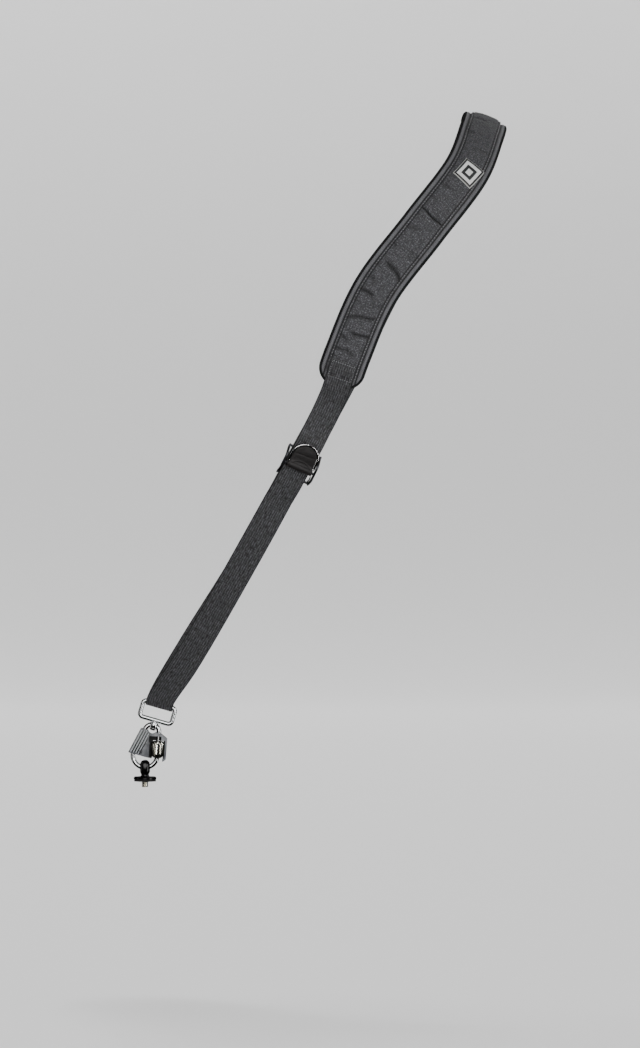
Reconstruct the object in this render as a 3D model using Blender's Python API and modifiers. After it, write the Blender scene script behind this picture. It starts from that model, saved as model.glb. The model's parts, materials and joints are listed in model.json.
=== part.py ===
"""Camera sling strap, worn over one shoulder and across the body.

A curved shoulder pad sits on a loop of webbing. A slide with a D-ring and a leather pull tab is threaded on the
front of the loop. A rectangular ring hangs in the fold at the bottom, and carries a swivel hook with its screw
gate, a two-part cover, and the eye that screws into a camera. Metres, +Z up. The origin is on the crest of the
shoulder, under the pad; the wearer faces -Y, and the front of the strap runs down towards -X.
"""

import math

import bmesh
import bpy
import numpy as np
from mathutils import Matrix, Vector

# Running clearance between pieces that touch
GAP = 0.0003

# The loop as worn
DROP = 0.537  # crest of the shoulder down to the ring's upper bar
REACH = 0.300  # crest sideways to the ring's upper bar
HALF_DEPTH = 0.120  # farthest that the strap stands before and behind the crest

# Webbing
WEB_WIDTH = 0.0254
WEB_THICK = 0.0018
WEB_LEAD = 0.008  # straight webbing on each side of the ring's bar
WEB_SEAM = 0.022  # webbing sewn on each end of the pad
FALL_LENGTH = 0.020  # from the pad's end to where the webbing lies on the body again

# Shoulder pad, its lengths measured along the strap from the crest
PAD_FRONT = 0.344
PAD_BACK = 0.048
PAD_WIDTH = 0.0420
PAD_THICK = 0.0080
PAD_RIM = 0.0034
PAD_CORNER = 0.0150
PAD_FADE = 0.0176  # over which the padding thins towards each end
BINDING = 0.0010
BORDER = 0.0068  # mesh border between the pad's edge and the woven panel
PANEL_THICK = 0.0014
PANEL_ROLL = 0.0042  # over which the panel thins towards its long edges
PANEL_EDGE = 0.45  # share of the panel's thickness left at its edge
PUCKER_WIDTH = 0.0075
PUCKER_LIMIT = 0.80  # share of the panel's thickness that the deepest pucker takes

# Woven label on the pad
LABEL_AT = 0.1155
LABEL_ASIDE = 0.0030  # off the pad's middle, away from the neck
LABEL_SIDE = 0.0212
LABEL_TURN = math.radians(9.5)  # its side away from the neck farther down the strap
LABEL_THICK = 0.0011
LABEL_SAG = 0.85  # share of the pad's swell that the label follows

# Slide adjuster, its place measured along the strap from the crest
SLIDE_AT = 0.4243
SLIDE_ASIDE = 0.0009  # off the strap's middle, away from the neck
SLIDE_TURN = math.radians(2.5)  # against the strap's length
SLIDE_LENGTH = 0.0290
SLIDE_BAR = 0.0024
SLIDE_RAIL = 0.0022
SLIDE_SIDE_GAP = 0.0017  # between the webbing's edges and the rails
SLIDE_RISE = 0.0203  # over which the webbing climbs onto the slide
RAIL_CREST = 0.0058  # half of the rail's level top
RAIL_EDGE = 0.00035
RAIL_LIP = 0.0002  # of the rails round the ends of the bars
MIDDLE_BAR_DOWN = 0.0018  # middle bar's distance below the slide's centre
DEE_WIRE = 0.0020
DEE_HEIGHT = 0.0198
DEE_ASIDE = 0.0005  # off the slide's middle, against its lower rail
DEE_BEND = 0.0014
TAB_THICK = 0.0012

# How the strap turns about its own length round the slide
STRAP_TURN = math.radians(14)
TURN_LEVEL = 0.022  # kept this far on each side of the slide's middle
TURN_FADE = 0.090  # over which it is lost beyond that

# Rectangular ring
RING_TILT = math.radians(16)
RING_BAR = 0.0040
RING_HEIGHT = 0.0155  # between the centres of its upper and lower bars
RING_CORNER = 0.0034
RING_SIDE_GAP = 0.0006
POST_WIDTH = 0.0036
POST_HEAD_WIDTH = 0.0054
POST_HEAD_THICK = 0.0018
POST_HEAD_BEVEL = 0.0009

# Swivel hook: a pear of two arcs, measured down from the centre of the ring's lower bar
HOOK_WIRE = 0.0043
CROWN_RADIUS = 0.0066
LOOP_RADIUS = 0.0113
HOOK_LENGTH = 0.0450  # down to the centre of the wire at the bottom
BOSS_WIDTH = 0.0078
BOSS_HEIGHT = 0.0052
NUT_WIDTH = 0.0128
NUT_LENGTH = 0.0156
NUT_DOWN = 0.0082  # from the hinge end of the gate to the top of the nut
NUT_FLUTES = 10
NOSE_LENGTH = 0.0020  # end of the hook held inside the nut

# Cover over the hook's spine and gate
COVER_TOP = 0.0104
COVER_BOTTOM = 0.0351
COVER_THICK = 0.0092
COVER_WALL = 0.0014
COVER_CORNER = 0.0008
COVER_CHAMFER = 0.0028
COVER_SHOULDER = 0.0056  # width of the slope at the top over the gate
NOTCH_GAP = 0.0012  # room round the post's head
WINDOW_GAP = 0.0012  # room beside the nut in the front shell's window
RECESS_RISE = 0.0040  # recess above the nut that shows the gate
RECESS_NEAR = 0.0085  # and how far it reaches from the gate towards the spine
RECESS_FAR = 0.0028  # and away from it
SCREW_WIDTH = 0.0022
SCREW_HEAD_WIDTH = 0.0030
SCREW_HEAD_HEIGHT = 0.0006
SCREW_ASIDE = 0.0046
SCREW_UP = 0.0036  # above the cover's lower edge

# Camera fastener
EYE_HEIGHT = 0.0146
EYE_DEPTH = 0.0124
EYE_WIDTH = 0.0098
EYE_FULLNESS = 2.6  # power of its rounding: 2 is an ellipsoid, more is squarer
EYE_BORE = 0.0074
NECK_WIDTH = 0.0078
WAIST_WIDTH = 0.0072
FOOT_WIDTH = 0.0090  # neck where it meets the flange
FLANGE_WIDTH = 0.0210
FLANGE_DOWN = 0.0084  # from the wire's centre to the top of the flange
FLANGE_THICK = 0.0026
FLANGE_CHAMFER = 0.0009
WASHER_THICK = 0.0016
STUD_WIDTH = 0.00635
STUD_CHAMFER = 0.0006
STUD_LENGTH = 0.0052  # below the washer

# Route of the strap's inner face down the front, from the crest to the ring.
# Shares of DROP, REACH and HALF_DEPTH; tilt is how far the strap's width slopes, in degrees.
FRONT_ROUTE = (
    # drop, reach, depth, tilt
    (0.000, 0.000, 0.00, 20),
    (0.025, 0.014, 0.42, 24),
    (0.094, 0.064, 0.76, 30),
    (0.192, 0.195, 0.95, 36),
    (0.300, 0.340, 1.00, 33),
    (0.404, 0.422, 0.99, 22),
    (0.488, 0.477, 0.94, 24),
    (0.596, 0.581, 0.85, 30),
    (0.758, 0.741, 0.64, 30),
    (0.923, 0.913, 0.32, 26),
)

# The same down the back
BACK_ROUTE = (
    # drop, reach, depth, tilt
    (0.030, 0.024, 0.60, 24),
    (0.120, 0.110, 0.89, 28),
    (0.277, 0.291, 0.99, 30),
    (0.422, 0.418, 0.93, 30),
    (0.592, 0.583, 0.77, 30),
    (0.760, 0.748, 0.53, 30),
    (0.900, 0.903, 0.25, 26),
)

# Half of the pad's cross-section, from its middle to its edge
PAD_SECTION = (
    # across: share of the half width; rise: share of the padding above the rim
    (0.00, 1.00),
    (0.30, 0.94),
    (0.58, 0.62),
    (0.70, 0.36),
    (0.81, 0.62),
    (0.93, 0.40),
    (1.00, 0.00),
)

# Puckers across the woven panel
PUCKERS = (
    # at: share of the pad's length before the crest; depth: share of the panel's thickness; slant
    (0.18, 0.30, 0.2),
    (0.48, 0.65, 0.3),
    (0.57, 0.35, -0.3),
    (0.65, 0.70, 0.4),
    (0.72, 0.40, -0.2),
    (0.77, 0.65, 0.3),
    (0.84, 0.50, 0.5),
)

# Cross-section of the edge binding
BINDING_SECTION = (
    # out: share of BINDING; up: share of PAD_RIM
    (0.0, -0.08),
    (1.0, 0.12),
    (1.0, 0.88),
    (0.0, 1.08),
)

# Lengthwise shape of the lock nut
NUT_PROFILE = (
    # along: share of NUT_LENGTH from the top; width: share of NUT_WIDTH; flute: share of full depth
    (0.00, 0.66, 0.0),
    (0.08, 0.90, 0.4),
    (0.18, 1.00, 1.0),
    (0.72, 0.98, 1.0),
    (0.88, 0.80, 0.6),
    (1.00, 0.56, 0.0),
)
FLUTE_DEPTH = 0.0008

STATION = 0.0120  # spacing of sections along the webbing
PAD_STATION = 0.0080  # and along the pad
FINE_SPANS = 6  # sections along a short feature, such as a seam or the label


def clear_scene():
    for thing in list(bpy.data.objects):
        bpy.data.objects.remove(thing, do_unlink=True)


def new_collection(name):
    collection = bpy.data.collections.new(name)
    bpy.context.scene.collection.children.link(collection)
    return collection


def new_material(name, colour, roughness, metallic=0.0):
    material = bpy.data.materials.new(name)
    material.use_nodes = True
    shader = material.node_tree.nodes["Principled BSDF"]
    shader.inputs["Base Color"].default_value = (*colour, 1.0)
    shader.inputs["Roughness"].default_value = roughness
    shader.inputs["Metallic"].default_value = metallic
    material.diffuse_color = (*colour, 1.0)
    return material


def mesh_object(name, vertices, faces, material, parent=None, smooth_angle=35):
    """A mesh object from vertices and faces, its normals outward."""
    mesh = bpy.data.meshes.new(name)
    mesh.from_pydata([tuple(v) for v in vertices], [], faces)
    work = bmesh.new()
    work.from_mesh(mesh)
    bmesh.ops.recalc_face_normals(work, faces=work.faces)
    work.to_mesh(mesh)
    work.free()
    mesh.shade_smooth()
    mesh.set_sharp_from_angle(angle=math.radians(smooth_angle))
    return linked(name, mesh, material, parent)


def linked(name, data, material, parent=None):
    thing = bpy.data.objects.new(name, data)
    PARTS.objects.link(thing)
    if material:
        data.materials.append(material)
    thing.parent = parent
    return thing


def empty(name, parent=None, location=(0, 0, 0), tilt=0.0):
    """A pivot, turned about its Y axis by tilt."""
    thing = bpy.data.objects.new(name, None)
    PARTS.objects.link(thing)
    thing.empty_display_size = 0.01
    thing.parent = parent
    thing.location = location
    thing.rotation_euler = (0, tilt, 0)
    return thing


def lofted(name, sections, material, closed=False, parent=None):
    """A solid through sections that each have the same number of points, with flat ends unless it closes on itself."""
    count = len(sections[0])
    vertices = [point for section in sections for point in section]
    faces = []
    spans = len(sections) if closed else len(sections) - 1
    for i in range(spans):
        near = i * count
        far = (i + 1) % len(sections) * count
        for j in range(count):
            k = (j + 1) % count
            faces.append((near + j, near + k, far + k, far + j))
    if not closed:
        faces.append(tuple(range(count)))
        faces.append(tuple(range(len(vertices) - count, len(vertices))))
    return mesh_object(name, vertices, faces, material, parent)


def tube(name, points, radius, material, closed=False, parent=None):
    curve = bpy.data.curves.new(name, "CURVE")
    curve.dimensions = "3D"
    curve.bevel_depth = radius
    curve.bevel_resolution = 2
    curve.use_fill_caps = True
    spline = curve.splines.new("POLY")
    spline.points.add(len(points) - 1)
    for knot, point in zip(spline.points, points):
        knot.co = (*point, 1.0)
    spline.use_cyclic_u = closed
    return linked(name, curve, material, parent)


def plate(name, outline, thickness, material, parent=None):
    """A flat outline in XY made a solid, its middle at z = 0."""
    curve = bpy.data.curves.new(name, "CURVE")
    curve.dimensions = "2D"
    curve.fill_mode = "BOTH"
    curve.extrude = thickness / 2
    spline = curve.splines.new("POLY")
    spline.points.add(len(outline) - 1)
    for knot, (x, y) in zip(spline.points, outline):
        knot.co = (x, y, 0.0, 1.0)
    spline.use_cyclic_u = True
    return linked(name, curve, material, parent)


def turned(name, profile, material, parent=None, steps=24):
    """A profile of (radius, z) rows from top to bottom, turned about Z. Its ends lie on the axis or it closes."""
    mesh = bpy.data.meshes.new(name)
    edges = [(i, i + 1) for i in range(len(profile) - 1)]
    if profile[0][0] > 0:
        edges.append((len(profile) - 1, 0))
    mesh.from_pydata([(radius, 0.0, z) for radius, z in profile], edges, [])
    thing = linked(name, mesh, material, parent)
    screw = thing.modifiers.new("Turn", "SCREW")
    screw.steps = steps
    screw.render_steps = steps
    screw.use_merge_vertices = True
    screw.merge_threshold = 0.00001
    return thing


def cylinder(name, radius, start, end, material=None, parent=None, sides=24):
    """A straight round bar between two points."""
    start, end = Vector(start), Vector(end)
    mesh = bpy.data.meshes.new(name)
    work = bmesh.new()
    bmesh.ops.create_cone(
        work, cap_ends=True, segments=sides, radius1=radius, radius2=radius, depth=(end - start).length
    )
    work.to_mesh(mesh)
    work.free()
    mesh.shade_smooth()
    mesh.set_sharp_from_angle(angle=math.radians(50))
    thing = linked(name, mesh, material, parent)
    thing.location = (start + end) / 2
    thing.rotation_euler = (end - start).to_track_quat("Z", "Y").to_euler()
    return thing


def as_mesh(thing):
    """The object with its curve or modifiers made a mesh, caps welded."""
    bpy.context.view_layer.update()
    graph = bpy.context.evaluated_depsgraph_get()
    mesh = bpy.data.meshes.new_from_object(thing.evaluated_get(graph))
    work = bmesh.new()
    work.from_mesh(mesh)
    bmesh.ops.remove_doubles(work, verts=work.verts, dist=0.000001)
    bmesh.ops.recalc_face_normals(work, faces=work.faces)
    work.to_mesh(mesh)
    work.free()
    mesh.shade_smooth()
    mesh.set_sharp_from_angle(angle=math.radians(50))
    name, parent, matrix = thing.name, thing.parent, thing.matrix_basis.copy()
    bpy.data.objects.remove(thing, do_unlink=True)
    made = bpy.data.objects.new(name, mesh)
    PARTS.objects.link(made)
    made.parent = parent
    made.matrix_basis = matrix
    return made


def combine(thing, tool, operation):
    """Joins the tool to the object, or cuts it away. The tool stays as a hidden guide."""
    modifier = thing.modifiers.new(operation.title(), "BOOLEAN")
    modifier.operation = operation
    modifier.object = tool
    if tool.name in PARTS.objects:
        PARTS.objects.unlink(tool)
        CUTTERS.objects.link(tool)
    tool.hide_render = True
    tool.display_type = "WIRE"


def rounded_rectangle(width, height, corner, steps=5):
    """Points of a closed outline about its centre."""
    points = []
    for quarter in range(4):
        sign_x = (1, -1, -1, 1)[quarter]
        sign_y = (1, 1, -1, -1)[quarter]
        for step in range(steps + 1):
            angle = math.pi / 2 * (quarter + step / steps)
            x = sign_x * (width / 2 - corner) + corner * math.cos(angle)
            y = sign_y * (height / 2 - corner) + corner * math.sin(angle)
            points.append((x, y))
    return points


class Route:
    """The closed path of the strap's inner face, with the direction of its width at each place."""

    def __init__(self):
        knots, fold = self.knots()
        dense, starts = self.smoothed(knots)
        steps = np.linalg.norm(np.diff(dense[:, :3], axis=0, append=dense[:1, :3]), axis=1)
        self.table = np.vstack([dense, dense[:1]])
        self.along = np.concatenate([[0.0], np.cumsum(steps)])
        self.length = self.along[-1]
        self.fold_start = self.along[starts[fold[0]]]
        self.fold_end = self.along[starts[fold[1]]]

    def knots(self):
        """Points (x, y, z, tilt) down the front, round the ring's bar and up the back, and the fold's first and last."""
        front = [self.placed(row, -1) for row in FRONT_ROUTE]
        back = [self.placed(row, 1) for row in BACK_ROUTE]
        bar = Vector((-REACH, 0, -DROP))
        up = Vector((math.sin(RING_TILT), 0, math.cos(RING_TILT)))
        radius = RING_BAR / 2 + GAP
        first = wrap_angle(front[-1], bar, up, radius, -1)
        last = math.pi - wrap_angle(back[-1], bar, up, radius, 1)
        tilt = math.degrees(RING_TILT)
        fold = []
        turns = 8
        for i in range(turns + 1):
            angle = first + (last - first) * i / turns
            outward = Vector((0, -math.cos(angle), 0)) - up * math.sin(angle)
            fold.append(bar + outward * radius)
        lead_front = up * math.cos(first) + Vector((0, -math.sin(first), 0))
        lead_back = -up * math.cos(last) + Vector((0, math.sin(last), 0))
        rows = list(front)
        rows.append((*(fold[0] + lead_front * WEB_LEAD), tilt))
        rows.extend((*point, tilt) for point in fold)
        rows.append((*(fold[-1] + lead_back * WEB_LEAD), tilt))
        rows.extend(reversed(back))
        return np.array(rows), (len(front), len(front) + turns + 2)

    @staticmethod
    def placed(row, side):
        drop, reach, depth, tilt = row
        return (-REACH * reach, side * HALF_DEPTH * depth, -DROP * drop, tilt)

    @staticmethod
    def smoothed(knots, steps=60):
        """A smooth closed curve through the knots, and where each knot lies in it."""
        dense = []
        starts = []
        count = len(knots)
        for i in range(count):
            four = [knots[(i + k) % count] for k in (-1, 0, 1, 2)]
            gaps = [math.sqrt(np.linalg.norm(b[:3] - a[:3])) for a, b in zip(four, four[1:])]
            t = np.concatenate([[0.0], np.cumsum(gaps)])
            starts.append(len(dense))
            for step in range(steps):
                at = t[1] + (t[2] - t[1]) * step / steps
                level = four
                for reach in (1, 2, 3):
                    level = [
                        blended(level[j], level[j + 1], at, *knot_span(t, j, reach))
                        for j in range(4 - reach)
                    ]
                dense.append(level[0])
        return np.array(dense), starts

    def frame(self, s):
        """Place, direction of travel, direction of the width and outward normal at the length s from the crest."""
        place = self.row(s)
        step = 0.0004
        travel = Vector(self.row(s + step)[:3] - self.row(s - step)[:3]).normalized()
        tilt = math.radians(place[3])
        across = Vector((math.cos(tilt), 0, -math.sin(tilt)))
        across = (across - travel * across.dot(travel)).normalized()
        beyond = (abs(s % self.length - SLIDE_AT) - TURN_LEVEL) / TURN_FADE
        across = Matrix.Rotation(-STRAP_TURN * (1 - eased(beyond)), 3, travel) @ across
        return Vector(place[:3]), travel, across, travel.cross(across)

    def row(self, s):
        s = s % self.length
        return np.array([np.interp(s, self.along, column) for column in self.table.T])

    def point(self, s, aside, out):
        place, _, across, normal = self.frame(s)
        return place + across * aside + normal * out


def wrap_angle(knot, bar, up, radius, side):
    """Angle below the horizontal at which webbing from the knot first touches the circle round the bar."""
    towards = Vector(knot[:3]) - bar
    level = side * towards.y
    high = towards.dot(up)
    return math.acos(radius / math.hypot(level, high)) - math.atan2(high, level)


def knot_span(t, j, reach):
    """Ends of the parameter span that two neighbours at this level of the blend cover."""
    return (t[j], t[j + reach]) if reach < 3 else (t[1], t[2])


def blended(a, b, at, start, end):
    return a * (end - at) / (end - start) + b * (at - start) / (end - start)


def eased(share):
    """A share from 0 to 1, starting and ending level."""
    share = min(1.0, max(0.0, share))
    return share * share * (3 - 2 * share)


def stations(start, end, spacing):
    count = max(2, math.ceil((end - start) / spacing))
    return [start + (end - start) * i / count for i in range(count + 1)]


def body_half_width():
    """Half the padded body's width, inside its binding."""
    return PAD_WIDTH / 2 - BINDING - GAP


def pad_half_width(s):
    """Half width at s, with the pad's corners rounded."""
    from_end = max(0.0, min(PAD_FRONT - s, s + PAD_BACK))
    if from_end >= PAD_CORNER:
        return body_half_width()
    inset = PAD_CORNER - math.sqrt(PAD_CORNER**2 - (PAD_CORNER - from_end) ** 2)
    return body_half_width() - inset


def pad_top(s, aside):
    """Height of the padded body's upper face over the strap's inner face."""
    share = min(1.0, abs(aside) / pad_half_width(s))
    across, rise = zip(*PAD_SECTION)
    swell = float(np.interp(share, across, rise))
    from_end = max(0.0, min(PAD_FRONT - s, s + PAD_BACK))
    padding = PAD_THICK - PANEL_THICK - GAP - PAD_RIM
    return PAD_RIM + padding * swell * eased(from_end / PAD_FADE)


def pad_stations():
    """Places along the pad, closer together round its corners."""
    corner = [PAD_CORNER * (1 - math.cos(math.radians(angle))) for angle in range(0, 90, 15)]
    front = [PAD_FRONT - step for step in corner]
    back = [-PAD_BACK + step for step in corner]
    middle = stations(-PAD_BACK + PAD_CORNER, PAD_FRONT - PAD_CORNER, PAD_STATION)
    return back + middle + front[::-1]


def panel_top(s, aside):
    """Height of the woven panel's upper face, puckered across."""
    dent = 0.0
    for at, depth, slant in PUCKERS:
        off = (s - at * PAD_FRONT - slant * aside) / PUCKER_WIDTH
        dent += depth * math.exp(-off * off)
    from_edge = panel_half_width() - abs(aside)
    roll = min(1.0, PANEL_EDGE + from_edge / PANEL_ROLL)
    return pad_top(s, aside) + GAP + PANEL_THICK * roll * (1 - PUCKER_LIMIT * min(1.0, dent))


def panel_half_width():
    return PAD_WIDTH / 2 - BORDER


def make_pad_body():
    outline = [(-across, rise) for across, rise in PAD_SECTION[:0:-1]] + list(PAD_SECTION)
    sections = []
    for s in pad_stations():
        half = pad_half_width(s)
        top = [ROUTE.point(s, across * half, pad_top(s, across * half)) for across, _ in outline]
        under = [ROUTE.point(s, across * half, 0.0) for across in (1.0, -1.0)]
        sections.append(top + under)
    return lofted("pad_body", sections, new_material("mesh_border", (0.085, 0.085, 0.09), 0.9))


def make_pad_panel():
    half = panel_half_width()
    inset = BORDER - BINDING
    columns = [across * body_half_width() / half for across, _ in PAD_SECTION]
    columns = [share for share in columns if share < 1.0] + [1.0]
    shares = [-share for share in columns[:0:-1]] + columns
    sections = []
    first, last = -PAD_BACK + inset, PAD_FRONT - inset
    for s in [first] + [place for place in pad_stations() if first < place < last] + [last]:
        from_end = min(last - s, s - first)
        round_in = max(0.0, PAD_CORNER / 2 - from_end)
        width = half - (PAD_CORNER / 2 - math.sqrt(PAD_CORNER**2 / 4 - round_in**2))
        top = [ROUTE.point(s, share * width, panel_top(s, share * width)) for share in shares]
        under = [ROUTE.point(s, share * width, pad_top(s, share * width) + GAP) for share in shares[::-1]]
        sections.append(top + under)
    return lofted("pad_panel", sections, new_material("woven_panel", (0.02, 0.021, 0.024), 0.92))


def make_pad_binding():
    right = [(s, pad_half_width(s)) for s in pad_stations()]
    outline = right + [(s, -aside) for s, aside in reversed(right)]
    count = len(outline)
    sections = []
    for i, (s, aside) in enumerate(outline):
        before, after = outline[i - 1], outline[(i + 1) % count]
        run = Vector((after[0] - before[0], after[1] - before[1])).normalized()
        place, travel, across, normal = ROUTE.frame(s)
        outward = across * run.x - travel * run.y
        edge = place + across * aside
        sections.append(
            [edge + outward * (GAP + out * BINDING) + normal * (up * PAD_RIM) for out, up in BINDING_SECTION]
        )
    return lofted(
        "pad_binding", sections, new_material("edge_binding", (0.012, 0.012, 0.013), 0.85), closed=True
    )


def sheet(name, places, asides, height, thickness, material, spot=None):
    """A thin strip on the route: an open surface at the given height, made solid outwards."""
    spots = [(s, aside) for s in places for aside in asides]
    if spot is not None:
        spots = [spot(s, aside) for s, aside in spots]
    vertices = [ROUTE.point(s, aside, height(s, aside)) for s, aside in spots]
    wide = len(asides)
    faces = [
        (i * wide + j, (i + 1) * wide + j, (i + 1) * wide + j + 1, i * wide + j + 1)
        for i in range(len(places) - 1)
        for j in range(wide - 1)
    ]
    mesh = bpy.data.meshes.new(name)
    mesh.from_pydata([tuple(v) for v in vertices], [], faces)
    mesh.shade_smooth()
    strip = linked(name, mesh, material)
    solid = strip.modifiers.new("Thickness", "SOLIDIFY")
    solid.thickness = thickness
    solid.offset = 1.0
    return strip


def make_label():
    half = LABEL_SIDE / 2
    places = stations(LABEL_AT - half, LABEL_AT + half, LABEL_SIDE / FINE_SPANS)
    asides = stations(LABEL_ASIDE - half, LABEL_ASIDE + half, LABEL_SIDE / FINE_SPANS)
    crown = max(panel_top(LABEL_AT + shift, 0.0) for shift in (-half, 0.0, half))

    def height(s, aside):
        """The label spans the pad's swell, standing clear of its puckers."""
        fall = pad_top(LABEL_AT, 0.0) - pad_top(LABEL_AT, aside)
        return crown + GAP - LABEL_SAG * fall

    def turned_about_middle(s, aside):
        ahead, beside = s - LABEL_AT, aside - LABEL_ASIDE
        return (
            LABEL_AT + ahead * math.cos(LABEL_TURN) + beside * math.sin(LABEL_TURN),
            LABEL_ASIDE + beside * math.cos(LABEL_TURN) - ahead * math.sin(LABEL_TURN),
        )

    black = new_material("label", (0.02, 0.02, 0.02), 0.6)
    return sheet("label_patch", places, asides, height, LABEL_THICK, black, turned_about_middle)


def web_lift(s):
    """Height of the webbing's inner face: on the pad's ends, over the slide's bars, or on the body."""
    if s > ROUTE.length / 2:
        s -= ROUTE.length
    over_pad = panel_top(PAD_FRONT - WEB_SEAM, 0.0) + GAP
    past_end = max(s - PAD_FRONT, -PAD_BACK - s)
    past_slide = abs(s - SLIDE_AT) - SLIDE_LENGTH / 2 - 2 * SLIDE_BAR
    on_pad = over_pad * (1 - eased(past_end / FALL_LENGTH))
    on_slide = slide_lift() * (1 - eased(past_slide / SLIDE_RISE))
    return max(on_pad, on_slide)


def slide_lift():
    """How far the slide's lower bars raise the webbing."""
    return SLIDE_BAR + 2 * GAP


def make_webbing():
    material = new_material("webbing", (0.045, 0.045, 0.05), 0.8)
    asides = (-WEB_WIDTH / 2, WEB_WIDTH / 2)
    pad_start = PAD_FRONT - WEB_SEAM
    pad_end = ROUTE.length - PAD_BACK + WEB_SEAM
    front = stations(pad_start, PAD_FRONT + FALL_LENGTH, WEB_SEAM / FINE_SPANS)
    front += stations(PAD_FRONT + FALL_LENGTH, SLIDE_AT - SLIDE_LENGTH, STATION)[1:]
    front += stations(SLIDE_AT - SLIDE_LENGTH, SLIDE_AT + 2 * SLIDE_LENGTH, SLIDE_LENGTH / FINE_SPANS)[1:]
    front += stations(SLIDE_AT + 2 * SLIDE_LENGTH, ROUTE.fold_start - GAP / 2, STATION)[1:]
    fold = stations(ROUTE.fold_start + GAP / 2, ROUTE.fold_end - GAP / 2, RING_BAR / FINE_SPANS)
    rear_end = ROUTE.length - PAD_BACK - FALL_LENGTH
    rear = stations(ROUTE.fold_end + GAP / 2, rear_end, STATION)
    rear += stations(rear_end, pad_end, WEB_SEAM / FINE_SPANS)[1:]
    for name, places in (("webbing_front", front), ("webbing_fold", fold), ("webbing_rear", rear)):
        sheet(name, places, asides, lambda s, aside: web_lift(s), WEB_THICK, material)


def slide_seat():
    """An empty at the slide's centre: X across the strap, Y up it and Z out of it."""
    place, travel, across, normal = ROUTE.frame(SLIDE_AT)
    seat = empty("slide_seat")
    axes = Matrix((across, -travel, normal)).transposed() @ Matrix.Rotation(SLIDE_TURN, 3, "Z")
    seat.matrix_world = Matrix.Translation(place + across * SLIDE_ASIDE + normal * slide_lift()) @ axes.to_4x4()
    return seat


def make_slide(seat):
    """The slide: two rails, two bars under the webbing and a middle bar over it, then its D-ring and pull tab."""
    steel = new_material("gunmetal", (0.12, 0.12, 0.125), 0.3, 1.0)
    chrome = new_material("bright_wire", (0.75, 0.75, 0.77), 0.15, 1.0)
    leather = new_material("tab_leather", (0.018, 0.013, 0.012), 0.6)
    low = -GAP - SLIDE_BAR / 2
    wrap = SLIDE_BAR / 2 + GAP + TAB_THICK
    high = WEB_THICK + GAP + wrap
    rail_x = WEB_WIDTH / 2 + SLIDE_SIDE_GAP + SLIDE_RAIL / 2
    end_y = SLIDE_LENGTH / 2 - SLIDE_BAR / 2 - RAIL_LIP
    bar_y = -MIDDLE_BAR_DOWN
    make_slide_frame(seat, steel, low, high, rail_x, end_y, bar_y)

    dee_y = bar_y + SLIDE_BAR / 2 + DEE_WIRE / 2 + 2 * GAP
    dee_half = rail_x - SLIDE_RAIL / 2 - GAP - DEE_WIRE / 2 - DEE_ASIDE
    straight = dee_y + DEE_HEIGHT - dee_half
    bow = [(dee_half * math.cos(a), straight + dee_half * math.sin(a)) for a in np.linspace(0, math.pi, 17)]
    bend = DEE_BEND
    dee = [(-dee_half + bend, dee_y), (dee_half - bend, dee_y), (dee_half, dee_y + bend)] + bow
    dee.append((-dee_half, dee_y + bend))
    wire = [(DEE_ASIDE + x, y, high) for x, y in dee]
    tube("d_ring", wire, DEE_WIRE / 2, chrome, closed=True, parent=seat)

    inner = dee_half - DEE_WIRE / 2 - GAP
    face = inner - GAP
    corner = face - (dee_half - bend) + math.sqrt(2) * (DEE_WIRE / 2 + GAP) + GAP
    dome = [(face * math.cos(a), straight + face * math.sin(a)) for a in np.linspace(0, math.pi, 17)]
    dome += [(-face, dee_y + corner), (corner - face, dee_y), (face - corner, dee_y), (face, dee_y + corner)]
    tab = as_mesh(plate("pull_tab", dome, 2 * TAB_THICK, leather, seat))
    tab.location = (DEE_ASIDE, 0, high)
    hem = as_mesh(plate("tab_hem", stadium(dee_y - bar_y, wrap), 2 * (dee_half - bend - 3 * GAP), leather, seat))
    hem.location = (DEE_ASIDE, bar_y, high)
    hem.rotation_euler = (math.pi / 2, 0, math.pi / 2)
    combine(tab, hem, "UNION")
    reach = Vector((inner + TAB_THICK, 0, 0))
    for y, radius in ((bar_y, SLIDE_BAR / 2), (dee_y, DEE_WIRE / 2)):
        centre = Vector((DEE_ASIDE, y, high))
        bore = cylinder("tab_bore", radius + GAP, centre - reach, centre + reach, parent=seat, sides=16)
        combine(tab, bore, "DIFFERENCE")


def stadium(length, radius):
    """A long hole's outline from x = 0 to x = length."""
    near = [(-radius * math.sin(a), radius * math.cos(a)) for a in np.linspace(0, math.pi, 9)]
    far = [(length + radius * math.sin(a), -radius * math.cos(a)) for a in np.linspace(0, math.pi, 9)]
    return near + far


def make_slide_frame(seat, steel, low, high, rail_x, end_y, bar_y):
    """Rails are plates on edge, low at their ends and raised to the middle bar."""
    round_off = SLIDE_BAR / 2 + RAIL_LIP
    rail_line = [
        (-end_y - round_off, low - round_off),
        (end_y + round_off, low - round_off),
        (end_y + round_off, low + round_off),
        (bar_y + RAIL_CREST, high + round_off),
        (bar_y - RAIL_CREST, high + round_off),
        (-end_y - round_off, low + round_off),
    ]
    frame = None
    for side in (-1, 1):
        rail = as_mesh(plate("rail", rail_line, SLIDE_RAIL, steel, seat))
        rail.location = (side * rail_x, 0, 0)
        rail.rotation_euler = (math.pi / 2, 0, math.pi / 2)
        soften = rail.modifiers.new("Soft edges", "BEVEL")
        soften.width = RAIL_EDGE
        soften.segments = 1
        if frame is None:
            frame = rail
            frame.name = "slide_frame"
        else:
            combine(frame, rail, "UNION")
    for y, z in ((end_y, low), (-end_y, low), (bar_y, high)):
        bar = cylinder("slide_bar", SLIDE_BAR / 2, (-rail_x, y, z), (rail_x, y, z), parent=seat, sides=12)
        combine(frame, bar, "UNION")


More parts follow.
